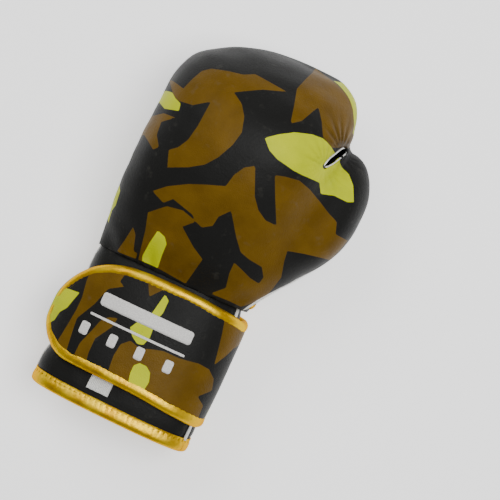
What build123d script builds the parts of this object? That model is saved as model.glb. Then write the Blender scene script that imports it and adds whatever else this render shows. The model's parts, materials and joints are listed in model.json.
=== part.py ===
"""Left-hand 10 oz boxing glove, lying palm down, in millimetres.

Working axes while the pieces are made: x runs across the hand to the thumb side, y from the cuff mouth to the
knuckles, z from the palm to the back of the hand. y = 0 is the cuff mouth and x = 0 the middle of the cuff.
The finished pieces are then moved so that the origin is at the middle of the footprint, on the ground.
"""

import os
from build123d import *

# ---------------------------------------------------------------- driving dimensions
SKIN = 1.2  # leather over the padding
LINING = 1.0  # cloth round the hand
FIT = 0.3  # gap between pieces that move apart

CUFF_HALF_WIDTH = 55.0
CUFF_HALF_HEIGHT = 31.0
CUFF_WALL = 9.0  # leather, foam and lining together
CUFF_LENGTH = 104.0
CUFF_HEIGHT = 40.1  # of the cuff's middle above the ground
CUFF_SEAM = 15.0  # the side seams lie this far above the cuff's middle
BINDING = 0.7  # gold tape over an edge
BINDING_WIDTH = 6.5
WALL_LAYERS = {  # inner and outer faces, as offsets outward from the cuff's surface
    "panel": (-SKIN, 0),
    "foam": (LINING - CUFF_WALL, -SKIN),
    "lining": (-CUFF_WALL, LINING - CUFF_WALL),
}

# The mitt, in sections along y: left, right, bottom, top, corner radius
MITT_SECTIONS = [
    (104, -55, 55, 9.1, 71.1, 30.9),
    (114, -54, 57, 9, 80, 34),
    (130, -52.5, 59.5, 12, 91, 36),
    (150, -52.5, 62.5, 16, 103, 40),
    (172, -53, 66.5, 11, 112, 44),
    (195, -53.5, 70.5, 2, 117.5, 48),
    (215, -54, 73, -1, 116.5, 50),
    (235, -53, 73, 1, 107, 46),
    (250, -45.5, 70, 10, 93, 38),
    (262, -31, 63, 22, 79, 26),
    (270, -9, 53.5, 34, 67, 15.5),
    (275, 17, 43, 44, 58, 6.5),
]
MITT_END = 275.0

# The thumb, in sections along y: middle x, middle z, half width, half height
THUMB_SECTIONS = [
    (108, 38, 42, 17, 20),
    (124, 46, 44, 21, 24),
    (141, 56, 46, 24.5, 27),
    (161, 67.5, 47, 26.5, 29),
    (182, 74, 47, 27, 29),
    (205, 75, 47, 25, 26),
    (220, 75, 47, 18.5, 19.5),
    (229, 75, 47, 11, 12),
    (233, 75, 47, 3.5, 4),
]
THUMB_END = 233.0

SEAM_HEEL = 30.0  # height of the seam between back and palm leather, beside the heel of the hand
SEAM_FIST = 14.0  # and round the underside of the fist
FIST_START = 183.0  # where the palm panel ends and the finger panel begins
FIST_LIMIT = 252.0
PIPING = 1.2  # how far the piping stands proud, and half its width

# Hand space: left, right, near end, far end, bottom, top
PALM_POCKET = (-36, 48, 96, 205, 30, 62)
FINGER_POCKET = (-38, 54, 188, 232, 17, 62)
POCKET_CORNER = 11.0
THUMB_BORE = (Vector(30, 128, 45), Vector(76, 206, 47))
THUMB_BORE_RADIUS = 12.0
GRIP_BAR_RADIUS = 6.5

# The wrist strap, as layers outward from the cuff's surface
LOOP_PATCH = 1.4
HOOK_PATCH = (1.6, 3.0)
BACKING = (3.0, 3.8)
STRAP_FOAM = (3.8, 7.0)
STRAP_COVER = (7.0, 8.2)
STRAP_INNER = BACKING[0]
STRAP_OUTER = STRAP_COVER[1]
TAPE = 0.6  # thickness of the strap's edge binding
STRAP_START = 21.0
STRAP_END = 102.0
STRAP_TAPE_WIDTH = 6.5
STRAP_TIP = -65.5  # the free end, over the little-finger side
TIP_RADIUS = 57.0  # the back span leaves the cuff on this larger curve
SEWN_END = 30.0  # height of the palm span's sewn end
TIP_CORNERS = (26.0, 44.0)  # corner radii of the free end, cuff mouth side and knuckle side

# The slit on the palm side, which opens the cuff for the hand
SLIT_HALF = 1.2
SLIT_END = 124.0
FOLD_MOUTH = 34.0  # the flap's fold line leaves the cuff mouth this far from the middle
FOLD_TOP = 4.0  # and reaches the top of the cuff this far from it
EDGE_SLOPE = 0.31  # the flaps thin towards the slit, so that they pass each other as they open 15 degrees

FLAT = CUFF_HALF_WIDTH - CUFF_HALF_HEIGHT  # half the length of the cuff's flat stretches
HUGE = 400.0


# ---------------------------------------------------------------- shapes
def block(x0, x1, y0, y1, z0, z1):
    """A box between two corners."""
    return Pos((x0 + x1) / 2, (y0 + y1) / 2, (z0 + z1) / 2) * Box(x1 - x0, y1 - y0, z1 - z0)


def across(y, x=0.0, z=0.0):
    """A drawing plane across the hand, with its own axes along x and z."""
    return Plane(origin=(x, y, z), x_dir=(1, 0, 0), z_dir=(0, -1, 0))


def along_y(face, length):
    """A prism that runs from a face on an across() plane towards the knuckles."""
    return extrude(face, amount=length, dir=(0, 1, 0))


def cuff_prism(offset, y0, y1):
    """The cuff's outline, grown by offset, between two stations."""
    outline = SlotOverall(2 * (CUFF_HALF_WIDTH + offset), 2 * (CUFF_HALF_HEIGHT + offset))
    return along_y(across(y0, z=CUFF_HEIGHT) * outline, y1 - y0)


def cuff_layer(inner, outer, y0, y1):
    """A layer of the cuff between two offsets from its outer surface."""
    return cuff_prism(outer, y0, y1) - cuff_prism(inner, y0 - 1, y1 + 1)


def back_span_prism(offset, y0, y1):
    """What lies under the back span of the strap: the cuff's outline with a wider curve on the free side."""
    top = CUFF_HEIGHT + CUFF_HALF_HEIGHT + offset
    right = FLAT + CUFF_HALF_HEIGHT + offset
    reach = TIP_RADIUS + offset
    tip = Vector(-FLAT, top - reach)
    side = CenterArc((FLAT, CUFF_HEIGHT), CUFF_HALF_HEIGHT + offset, 0, 90)
    over = Line((FLAT, top), (-FLAT, top))
    droop = CenterArc(tip, reach, 90, 60)
    end = droop @ 1
    close = Polyline(end, (end.X, CUFF_HEIGHT), (right, CUFF_HEIGHT))
    return along_y(across(y0) * make_face([side, over, droop, close]), y1 - y0)


def back_span_layer(inner, outer, y0, y1):
    """A layer of the strap's back span."""
    layer = back_span_prism(outer, y0, y1) - back_span_prism(inner, y0 - 1, y1 + 1)
    return layer & block(-HUGE, HUGE, -HUGE, HUGE, CUFF_HEIGHT + FIT / 2, HUGE)


def tip_outline(inset):
    """The strap's back span seen from above: a rounded free end, less a margin all round."""
    low, high, left = STRAP_START + inset, STRAP_END - inset, STRAP_TIP + inset
    right = CUFF_HALF_WIDTH + 40
    corner_low, corner_high = (radius - inset for radius in TIP_CORNERS)
    path = [
        Line((right, low), (left + corner_low, low)),
        CenterArc((left + corner_low, low + corner_low), corner_low, 270, -90),
        Line((left, low + corner_low), (left, high - corner_high)),
        CenterArc((left + corner_high, high - corner_high), corner_high, 180, -90),
        Line((left + corner_high, high), (right, high)),
        Line((right, high), (right, low)),
    ]
    return extrude(make_face(path), amount=HUGE)


def mitt(inset):
    """The mitt's outer form, less a margin all round. It stands flat on the ground under the fist."""
    last = len(MITT_SECTIONS) - 1
    sections = []
    for index, (y, left, right, bottom, top, corner) in enumerate(MITT_SECTIONS):
        station = y - inset * (index / last) ** 4
        plane = across(station, (left + right) / 2, (bottom + top) / 2)
        width, height = right - left - 2 * inset, top - bottom - 2 * inset
        sections.append(plane * RectangleRounded(width, height, corner - inset))
    return loft(sections) & block(-HUGE, HUGE, 0, HUGE, max(inset, 0), HUGE)


def thumb(inset):
    """The thumb's outer form, less a margin all round."""
    last = len(THUMB_SECTIONS) - 1
    sections = []
    for index, (y, x, z, half_width, half_height) in enumerate(THUMB_SECTIONS):
        station = y - inset * (index / last) ** 4
        sections.append(across(station, x, z) * Ellipse(half_width - inset, half_height - inset))
    return loft(sections)


def rounded_block(bounds, growth, corner):
    """A box with rounded edges, grown by growth."""
    x0, x1, y0, y1, z0, z1 = bounds
    grown = block(x0 - growth, x1 + growth, y0 - growth, y1 + growth, z0 - growth, z1 + growth)
    return fillet(grown.edges(), corner + growth)


def hand_space(growth):
    """The space for the wrist, palm and fingers, grown by growth."""
    wrist = cuff_prism(growth - CUFF_WALL, -1, PALM_POCKET[2] + POCKET_CORNER + 2)
    palm = rounded_block(PALM_POCKET, growth, POCKET_CORNER)
    return wrist + palm + rounded_block(FINGER_POCKET, growth, POCKET_CORNER)


def thumb_space(growth):
    """The round bore for the thumb, closed by a dome."""
    start, end = THUMB_BORE
    reach = end - start
    radius = THUMB_BORE_RADIUS + growth
    on_the_plane = (Align.CENTER, Align.CENTER, Align.MIN)
    bore = Plane(origin=start, z_dir=reach) * Cylinder(radius, reach.length, align=on_the_plane)
    return bore + Pos(end) * Sphere(radius)


def fold_side(side, gap):
    """Everything between the slit and one flap's fold line, less a gap. side is 1 for the thumb side."""
    mouth, top = side * (FOLD_MOUTH - gap), side * (FOLD_TOP - gap)
    slit = side * SLIT_HALF
    overrun = 1.0
    slope = (mouth - top) / CUFF_LENGTH
    corners = [
        (slit, -overrun),
        (mouth + slope * overrun, -overrun),
        (top, CUFF_LENGTH),
        (slit, CUFF_LENGTH),
    ]
    face = make_face(Polyline(*corners, close=True))
    return extrude(face, amount=CUFF_HEIGHT)


def slit_edge(side, margin):
    """The wedge between the slit's middle and one flap, wider inside the cuff. margin is added to it."""
    outside = CUFF_HEIGHT - CUFF_HALF_HEIGHT - BINDING
    inside = outside + CUFF_WALL + 2 * BINDING
    below, above = outside - 5, inside + 5
    near = SLIT_HALF + margin
    far = near + (inside - outside) * EDGE_SLOPE
    corners = [(0, below), (near, below), (near, outside), (far, inside), (far, above), (0, above)]
    face = make_face(Polyline(*[(side * x, z) for x, z in corners], close=True))
    return along_y(across(-2) * face, CUFF_LENGTH + 4)


def cuff_flap(inner, outer, side, y0=0.0):
    """One flap's share of a cuff layer."""
    return cuff_layer(inner, outer, y0, CUFF_LENGTH - FIT) & fold_side(side, FIT)


# ---------------------------------------------------------------- regions used to divide the layers
SEAM_Z = CUFF_HEIGHT + CUFF_SEAM
ABOVE_SEAM = block(-HUGE, HUGE, -HUGE, HUGE, SEAM_Z, HUGE)
BELOW_SEAM = block(-HUGE, HUGE, -HUGE, HUGE, -HUGE, SEAM_Z)
HEEL_ZONE = block(-HUGE, HUGE, CUFF_LENGTH, FIST_START, -HUGE, SEAM_HEEL)
FIST_ZONE = block(-HUGE, HUGE, FIST_START, FIST_LIMIT, -HUGE, SEAM_FIST)
THUMB_ZONE = block(0, HUGE, CUFF_LENGTH, HUGE, -HUGE, SEAM_HEEL)
SLIT_ZONE = block(-SLIT_HALF, SLIT_HALF, -1, SLIT_END, -HUGE, CUFF_HEIGHT)


def cuff_pieces():
    """The fixed part of the cuff: back panel, two side panels, their foam, linings and the mouth binding."""
    pieces = {}
    flaps = fold_side(1, 0) + fold_side(-1, 0) + SLIT_ZONE
    thumb_half = block(0, HUGE, -HUGE, HUGE, -HUGE, HUGE)
    little_half = block(-HUGE, 0, -HUGE, HUGE, -HUGE, HUGE)
    for name, (inner, outer) in WALL_LAYERS.items():
        layer = cuff_layer(inner, outer, BINDING, CUFF_LENGTH)
        pieces[f"cuff_back_{name}"] = layer & ABOVE_SEAM
        sides = (layer & BELOW_SEAM) - flaps
        pieces[f"cuff_thumb_side_{name}"] = sides & thumb_half
        pieces[f"cuff_little_side_{name}"] = sides & little_half
    wall_solid = cuff_layer(-CUFF_WALL, 0, BINDING, CUFF_LENGTH)
    ring = cuff_layer(-CUFF_WALL - BINDING, BINDING, 0, BINDING_WIDTH) - wall_solid
    pieces["cuff_mouth_binding"] = ring - flaps
    for side, half in (("thumb", thumb_half), ("little", little_half)):
        seam = block(-HUGE, HUGE, BINDING_WIDTH, STRAP_START - TAPE, SEAM_Z - PIPING, SEAM_Z + PIPING)
        pieces[f"cuff_{side}_piping"] = cuff_layer(0, PIPING, BINDING_WIDTH, STRAP_START) & seam & half
    return pieces


def flap_pieces():
    """The two flaps beside the palm slit, each with leather, foam, lining and gold edging."""
    pieces = {}
    for name, side in (("thumb", 1), ("little", -1)):
        edge = slit_edge(side, BINDING)
        for layer, (inner, outer) in WALL_LAYERS.items():
            pieces[f"{name}_flap_{layer}"] = cuff_flap(inner, outer, side, BINDING) - edge
        body = cuff_flap(-CUFF_WALL, 0, side, BINDING) - edge
        near_edge = slit_edge(side, BINDING_WIDTH)
        near_mouth = block(-HUGE, HUGE, -1, BINDING_WIDTH, -HUGE, HUGE)
        tape = cuff_flap(-CUFF_WALL - BINDING, BINDING, side) & (near_edge + near_mouth)
        pieces[f"{name}_flap_binding"] = tape - body - slit_edge(side, 0)
    return pieces


def mitt_pieces():
    """Leather, padding, linings and trims of the mitt and thumb."""
    outer, inner = mitt(0), mitt(SKIN)
    thumb_outer, thumb_inner = thumb(0), thumb(SKIN)
    hand, hand_lined = hand_space(0), hand_space(LINING)
    bore, bore_lined = thumb_space(0), thumb_space(LINING)
    beyond_cuff = block(-HUGE, HUGE, CUFF_LENGTH, HUGE, -HUGE, HUGE)
    spaces = hand_lined + bore_lined

    form = outer + thumb_outer
    skin = (form - inner - thumb_inner) & beyond_cuff
    skin = skin - SLIT_ZONE
    thumb_side = THUMB_ZONE - outer
    heel_side, fist_side = HEEL_ZONE & outer, FIST_ZONE & outer
    pieces = {
        "back_panel": skin - thumb_side - heel_side - fist_side,
        "palm_panel": skin & heel_side,
        "finger_panel": skin & fist_side,
        "thumb_panel": skin & thumb_side,
    }
    heel = block(-HUGE, HUGE, CUFF_LENGTH, FIST_START, -HUGE, PALM_POCKET[4] - LINING)
    core = (inner & beyond_cuff) - spaces - SLIT_ZONE
    pieces["palm_foam"] = core & heel
    pieces["knuckle_foam"] = core - heel
    pieces["thumb_foam"] = (thumb_inner & beyond_cuff) - inner - spaces
    hand_cloth = (hand_lined - hand) & beyond_cuff
    pieces["hand_lining"] = hand_cloth - bore_lined - SLIT_ZONE
    pieces["thumb_lining"] = (bore_lined - bore) - hand_lined
    bar_length = PALM_POCKET[1] - PALM_POCKET[0] - 2 * POCKET_CORNER
    bar = Rot(0, 90, 0) * Cylinder(GRIP_BAR_RADIUS, bar_length)
    bar_x = (PALM_POCKET[0] + PALM_POCKET[1]) / 2
    bar_y, bar_z = FINGER_POCKET[2] - GRIP_BAR_RADIUS, PALM_POCKET[4] + GRIP_BAR_RADIUS
    pieces["grip_bar"] = Pos(bar_x, bar_y, bar_z) * bar

    proud = (mitt(-PIPING) + thumb(-PIPING)) - form
    heel_seam = block(-HUGE, 0, CUFF_LENGTH + PIPING, FIST_START, SEAM_HEEL - PIPING, SEAM_HEEL + PIPING)
    pieces["little_side_piping"] = proud & heel_seam
    thumb_seam = block(60, HUGE, CUFF_LENGTH + PIPING, THUMB_END - 12, SEAM_HEEL - PIPING, SEAM_HEEL + PIPING)
    pieces["thumb_piping"] = proud & thumb_seam
    return pieces


def strap_pieces():
    """The wrist strap: a palm span sewn at the little-finger side and a back span with the free end."""
    layers = {"cover": STRAP_COVER, "foam": STRAP_FOAM, "backing": BACKING}
    pieces = {}
    not_palm = block(0, HUGE, -HUGE, HUGE, CUFF_HEIGHT - FIT / 2, HUGE)
    not_palm += block(-HUGE, 0, -HUGE, HUGE, SEWN_END - FIT / 2, HUGE)
    inset = TAPE
    for name, (inner, outer) in layers.items():
        start, end = STRAP_START + inset, STRAP_END - inset
        pieces[f"palm_strap_{name}"] = cuff_layer(inner, outer, start, end) - not_palm
        pieces[f"back_strap_{name}"] = back_span_layer(inner, outer, start - 2, end + 2) & tip_outline(inset)
    low, high = STRAP_INNER - TAPE, STRAP_OUTER + TAPE

    core = cuff_layer(STRAP_INNER, STRAP_OUTER, STRAP_START + TAPE, STRAP_END - TAPE)
    window = block(-HUGE, HUGE, STRAP_START + STRAP_TAPE_WIDTH, STRAP_END - STRAP_TAPE_WIDTH, -HUGE, HUGE)
    pieces["palm_strap_binding"] = cuff_layer(low, high, STRAP_START, STRAP_END) - core - window - not_palm

    core = back_span_layer(STRAP_INNER, STRAP_OUTER, 0, HUGE) & tip_outline(TAPE)
    whole = back_span_layer(low, high, 0, HUGE) & tip_outline(0)
    pieces["back_strap_binding"] = whole - core - tip_outline(STRAP_TAPE_WIDTH)

    patch_start, patch_end = STRAP_START + 9, STRAP_END - 9
    over_cuff = block(-FLAT - 6, FLAT, -HUGE, HUGE, CUFF_HEIGHT, HUGE)
    pieces["hook_patch"] = back_span_layer(*HOOK_PATCH, patch_start, patch_end) & over_cuff
    under_tip = block(-FLAT - 12, FLAT + 6, -HUGE, HUGE, CUFF_HEIGHT, HUGE)
    pieces["loop_patch"] = cuff_layer(0, LOOP_PATCH, patch_start, patch_end) & under_tip

    anchor_zone = block(-HUGE, 0, -HUGE, HUGE, SEWN_END + FIT / 2, SEWN_END + 7)
    pieces["strap_anchor"] = cuff_layer(0, STRAP_OUTER, STRAP_START, STRAP_END) & anchor_zone
    return pieces


def trim_pieces():
    """Gold strip at the root of the thumb, slit edging above the cuff, and the blank size label."""
    pieces = {}
    proud = (mitt(-PIPING) + thumb(-PIPING)) - (mitt(0) + thumb(0))
    strip = [(54, 106), (59, 112), (44, 132), (27, 158), (19, 158), (24, 146), (37, 122)]
    prism = extrude(make_face(Polyline(*strip, close=True)), amount=SEAM_HEEL - PIPING - 1)
    pieces["thumb_base_strip"] = proud & prism
    edge = BINDING_WIDTH
    for name, side in (("thumb", 1), ("little", -1)):
        near, far = sorted((side * SLIT_HALF, side * (SLIT_HALF + edge)))
        zone = block(near, far, CUFF_LENGTH + 1.5, SLIT_END, -HUGE, 25)
        pieces[f"{name}_slit_binding"] = proud & zone
    label = block(-18, -4, 9, STRAP_START - TAPE, CUFF_HEIGHT, HUGE)
    pieces["size_label"] = cuff_layer(0, 0.5, 9, STRAP_START) & label
    return pieces


def hinge_facts(shift):
    """Prints the joint axes and the cuff mouth's middle in the finished frame, for the record."""
    pivot_x = CUFF_HALF_WIDTH + STRAP_OUTER + TAPE
    wall_low = CUFF_HEIGHT - CUFF_HALF_HEIGHT - BINDING - FIT
    print("shift", tuple(shift))
    print("back strap hinge", tuple(Vector(pivot_x, 0, CUFF_HEIGHT) + shift))
    print("palm strap hinge", tuple(Vector(-pivot_x, 0, SEWN_END) + shift))
    for side in (1, -1):
        start = Vector(side * FOLD_MOUTH, 0, wall_low)
        reach = Vector(side * FOLD_TOP, CUFF_LENGTH, wall_low) - start
        print("flap hinge", tuple(start + shift), tuple(reach.normalized()))
    print("cuff mouth", tuple(Vector(0, 0, CUFF_HEIGHT) + shift))


def main():
    os.makedirs("parts", exist_ok=True)
    pieces = {}
    for make in (cuff_pieces, flap_pieces, mitt_pieces, strap_pieces, trim_pieces):
        pieces.update(make())
    bounds = Compound(children=[Compound(list(piece.solids())) for piece in pieces.values()]).bounding_box()
    shift = Vector(-bounds.center().X, -bounds.center().Y, -bounds.min.Z)
    for name, piece in pieces.items():
        solids = [solid for solid in piece.solids() if solid.volume > 1.0]
        export_step(Pos(shift) * Compound(solids), f"parts/{name}.step")
    hinge_facts(shift)


main()
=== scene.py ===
"""Looks of a left-hand boxing glove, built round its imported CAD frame.

Shapes are worked out in glove millimetres: x across the hand towards the thumb, y from the cuff mouth to the
knuckles, z up. The hand_opening mount gives where that origin lies in the frame.
"""

import json
import math

import bmesh
import bpy
import numpy as np
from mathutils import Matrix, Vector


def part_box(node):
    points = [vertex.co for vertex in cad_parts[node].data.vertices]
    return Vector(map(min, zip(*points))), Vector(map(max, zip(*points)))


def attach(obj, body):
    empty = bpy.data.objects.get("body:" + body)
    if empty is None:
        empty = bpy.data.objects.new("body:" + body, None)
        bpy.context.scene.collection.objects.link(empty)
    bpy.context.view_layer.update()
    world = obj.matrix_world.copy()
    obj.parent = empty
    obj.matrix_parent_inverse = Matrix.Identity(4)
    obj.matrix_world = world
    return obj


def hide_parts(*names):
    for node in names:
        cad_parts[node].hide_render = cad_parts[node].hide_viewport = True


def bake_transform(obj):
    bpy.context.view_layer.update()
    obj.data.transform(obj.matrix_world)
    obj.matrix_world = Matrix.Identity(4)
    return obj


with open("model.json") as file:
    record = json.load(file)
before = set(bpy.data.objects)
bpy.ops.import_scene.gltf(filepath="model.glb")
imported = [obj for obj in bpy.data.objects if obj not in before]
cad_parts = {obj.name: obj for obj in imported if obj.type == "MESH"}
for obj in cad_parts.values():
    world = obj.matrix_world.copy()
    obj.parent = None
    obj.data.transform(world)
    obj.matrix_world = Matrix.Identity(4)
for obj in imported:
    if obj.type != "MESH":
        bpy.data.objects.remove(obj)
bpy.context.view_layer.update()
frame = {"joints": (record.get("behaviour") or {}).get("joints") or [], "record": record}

import openvdb
from mathutils import Vector
from mathutils.bvhtree import BVHTree

# ---------------------------------------------------------------- places and sizes from the frame
MM = 0.001
MOUTH = next(m for m in frame["record"]["mounts"] if m["name"] == "hand_opening")["pos_m"]
ORIGIN = np.array([MOUTH[0], MOUTH[1], 0.0]) / MM


def span(node):
    """Lowest and highest corner of a CAD node, in glove millimetres."""
    low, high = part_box(node)
    return np.array(low) / MM - ORIGIN, np.array(high) / MM - ORIGIN


MIDDLE = MOUTH[2] / MM
HALF_WIDTH = span("cuff_thumb_side_panel")[1][0]
CUFF_LENGTH = span("cuff_back_panel")[1][1]
CUFF_TOP = span("cuff_back_panel")[1][2]
HALF_HEIGHT = CUFF_TOP - MIDDLE
WALL = CUFF_TOP - span("cuff_back_lining")[1][2] + 1.0
SEAM_Z = span("cuff_back_panel")[0][2]
STRAP_LOW_Y, STRAP_HIGH_Y = span("back_strap_binding")[0][1], span("back_strap_binding")[1][1]
STRAP_TIP_X = span("back_strap_binding")[0][0]
STRAP_INNER = span("back_strap_backing")[1][2] - CUFF_TOP - 0.8
STRAP_OUTER = span("back_strap_cover")[1][2] - CUFF_TOP
FIST_SEAM = span("finger_panel")[1][2]
FIST_START = span("finger_panel")[0][1]
SLIT_END = span("thumb_slit_binding")[1][1]
NOSE_Y = span("back_panel")[1][1]
STITCH = 4.0  # from one stitch to the next
LEATHER = 1.3  # thickness of the leather, and of the tape laid on it
LINING_CLOTH = 0.9  # thickness of the lining
CORD_RADIUS = 1.15
LIP_CORD_RADIUS = 0.5
LIP_PLACES = 40  # along each lip of the slit


def to_frame(points):
    """Glove millimetres to metres in the frame."""
    return (np.asarray(points, float) + ORIGIN) * MM


# ---------------------------------------------------------------- small mesh helpers
def smooth_path(points, steps=24):
    """A Catmull-Rom curve through points."""
    p = np.array(points, float)
    p = np.vstack([2 * p[0] - p[1], p, 2 * p[-1] - p[-2]])
    t = np.linspace(0, 1, steps, endpoint=False)[:, None]
    spans = []
    for a, b, c, d in zip(p, p[1:], p[2:], p[3:]):
        square, cube = 2 * a - 5 * b + 4 * c - d, 3 * b - a - 3 * c + d
        spans.append(0.5 * (2 * b + (c - a) * t + square * t**2 + cube * t**3))
    return np.vstack(spans + [p[-2:-1]])


def curve_of(points):
    """A smooth function through (position, value) points."""
    path = smooth_path(points)
    return lambda y: np.interp(y, path[:, 0], path[:, 1])


def step(low, high, value):
    """0 below low, 1 above high, smooth between."""
    t = np.clip((value - low) / (high - low), 0, 1)
    return t * t * (3 - 2 * t)


def unit(vectors):
    """Vectors scaled to length 1."""
    return vectors / np.maximum(np.linalg.norm(vectors, axis=-1, keepdims=True), 1e-9)


def bell(distance, width):
    """1 at distance 0, fading out over about width to both sides."""
    return np.exp(-((distance / width) ** 2))


def distance_along(path):
    """How far along a path each of its places lies."""
    return np.r_[0, np.cumsum(np.linalg.norm(np.diff(path, axis=0), axis=1))]


def taper(count, start):
    """Shares that rise over three places from each end of a row of count places to 1."""
    return step(0, 3, np.minimum(np.arange(count), np.arange(count)[::-1]) + start)


def waves(p, scale, seed):
    """Smooth seeded noise, about -1 to 1, from a few sine waves in random directions."""
    rng = np.random.default_rng(seed)
    total = np.zeros(len(p))
    for _ in range(7):
        direction = unit(rng.normal(size=3))
        total += np.sin(p @ direction * (2 * math.pi / scale) * rng.uniform(0.7, 1.4) + rng.uniform(0, 6.28))
    return total / 3.5


def make_piece(name, verts, faces, material, recalculate=True):
    """A mesh object from glove millimetres."""
    mesh = bpy.data.meshes.new(name)
    mesh.from_pydata(to_frame(verts).tolist(), [], [tuple(int(i) for i in f) for f in faces])
    mesh.materials.append(material)
    obj = bpy.data.objects.new(name, mesh)
    bpy.context.scene.collection.objects.link(obj)
    if recalculate:
        bm = bmesh.new()
        bm.from_mesh(mesh)
        bmesh.ops.recalc_face_normals(bm, faces=bm.faces)
        bm.to_mesh(mesh)
        bm.free()
    mesh.polygons.foreach_set("use_smooth", [True] * len(mesh.polygons))
    return obj


def thicken(obj, thickness):
    """Gives a sheet its thickness, inwards."""
    solidify = obj.modifiers.new("thickness", "SOLIDIFY")
    solidify.thickness = thickness * MM
    solidify.offset = -1
    bake(obj)


def bake(obj):
    """Applies an object's modifiers."""
    mesh = bpy.data.meshes.new_from_object(obj.evaluated_get(bpy.context.evaluated_depsgraph_get()))
    obj.modifiers.clear()
    obj.data = mesh


def settle(obj, body, replaces=(), bend=None):
    """Puts a piece in place and hides the CAD nodes it stands for: with a bend its transform is baked in,
    otherwise it hangs under its body.
    """
    if bend:
        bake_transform(obj)
    else:
        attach(obj, body)
    if replaces:
        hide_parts(*replaces)
    return obj


def lattice(rows, columns, closed_columns=False):
    """Quads of a rows by columns grid of vertices."""
    faces = []
    for i in range(rows - 1):
        for j in range(columns if closed_columns else columns - 1):
            a, b = i * columns, (i + 1) * columns
            c, d = j, (j + 1) % columns
            faces.append((a + c, b + c, b + d, a + d))
    return faces


def sweep(path, outward, normal, profile):
    """A profile, a closed list of (outward, normal) places, swept along a path. Vertices and faces."""
    profile = np.asarray(profile, float)
    if profile.ndim == 2:
        profile = np.broadcast_to(profile, (len(path), *profile.shape))
    verts = path[:, None] + profile[..., :1] * outward[:, None] + profile[..., 1:] * normal[:, None]
    rows, columns = verts.shape[:2]
    faces = lattice(rows, columns, closed_columns=True)
    faces.append(tuple(range(columns)))
    faces.append(tuple(reversed(range((rows - 1) * columns, rows * columns))))
    return verts.reshape(-1, 3), faces


def tube(path, radius, sides=10):
    """A round tube along a path. radius is a number or one for each place."""
    along = unit(np.gradient(path, axis=0))
    side = unit(np.cross(along, [0.31, 0.17, 0.93]))
    up = np.cross(side, along)
    angles = np.linspace(0, 2 * math.pi, sides, endpoint=False)
    ring = np.stack([np.cos(angles), np.sin(angles)], 1)
    radius = np.broadcast_to(np.asarray(radius, float), (len(path),))
    return sweep(path, side, up, ring[None] * radius[:, None, None])


def resample(path, spacing):
    """Places an even distance apart along a path."""
    lengths = distance_along(path)
    count = max(2, int(round(lengths[-1] / spacing)) + 1)
    wanted = np.linspace(0, lengths[-1], count)
    return np.stack([np.interp(wanted, lengths, path[:, k]) for k in range(path.shape[1])], 1)


# ---------------------------------------------------------------- materials
def colour(red, green, blue):
    """A colour from its sRGB values, 0 to 255."""
    def linear(v):
        v /= 255
        return v / 12.92 if v < 0.04045 else ((v + 0.055) / 1.055) ** 2.4
    return (linear(red), linear(green), linear(blue), 1.0)


BLACK = colour(27, 27, 26)
GOLD = colour(212, 160, 10)
# gold in painted shade, for the stitch dimples
GOLD_DARK = colour(104, 70, 6)
WHITE = colour(228, 228, 224)


class Nodes:
    """A short way to write a material's nodes."""

    def __init__(self, name):
        self.material = bpy.data.materials.new(name)
        self.material.use_nodes = True
        self.tree = self.material.node_tree
        self.shader = self.tree.nodes["Principled BSDF"]

    def add(self, kind, **settings):
        node = self.tree.nodes.new(kind)
        for key, value in settings.items():
            if key in node.inputs:
                self.put(node, key, value)
            else:
                setattr(node, key, value)
        return node

    def put(self, node, key, value):
        """Sets an input, or links it where the value is a socket."""
        if isinstance(value, bpy.types.NodeSocket):
            self.tree.links.new(value, node.inputs[key])
        else:
            node.inputs[key].default_value = value

    def math(self, operation, a, b):
        node = self.tree.nodes.new("ShaderNodeMath")
        node.operation = operation
        for index, value in enumerate((a, b)):
            self.put(node, index, value)
        return node.outputs[0]

    def mix(self, share, a, b):
        node = self.tree.nodes.new("ShaderNodeMix")
        node.data_type = "RGBA"
        for key, value in ((0, share), (6, a), (7, b)):
            self.put(node, key, value)
        return node.outputs[2]

    def ramp(self, value, low, high, start=0.0, end=1.0):
        node = self.tree.nodes.new("ShaderNodeMapRange")
        for key, item in zip(range(5), (value, low, high, start, end)):
            self.put(node, key, item)
        return node.outputs[0]

    def stored(self, name):
        """A value that mark() stored on the vertices."""
        return self.add("ShaderNodeAttribute", attribute_name=name).outputs["Fac"]

    def place(self):
        return self.add("ShaderNodeTexCoord").outputs["Object"]

    def noise(self, scale, detail=3.0, place=None):
        node = self.add("ShaderNodeTexNoise", Vector=place or self.place(), Scale=scale, Detail=detail)
        return node.outputs["Fac"]

    def cells(self, scale, place=None):
        node = self.add("ShaderNodeTexVoronoi", Vector=place or self.place(), Scale=scale)
        return node.outputs["Distance"]

    def bump(self, height, distance, normal=None, strength=1.0):
        node = self.add("ShaderNodeBump", Height=height, Distance=distance, Strength=strength)
        if normal:
            self.put(node, "Normal", normal)
        return node.outputs["Normal"]

    def finish(self, **inputs):
        for key, value in inputs.items():
            self.put(self.shader, key, value)
        return self.material


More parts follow.
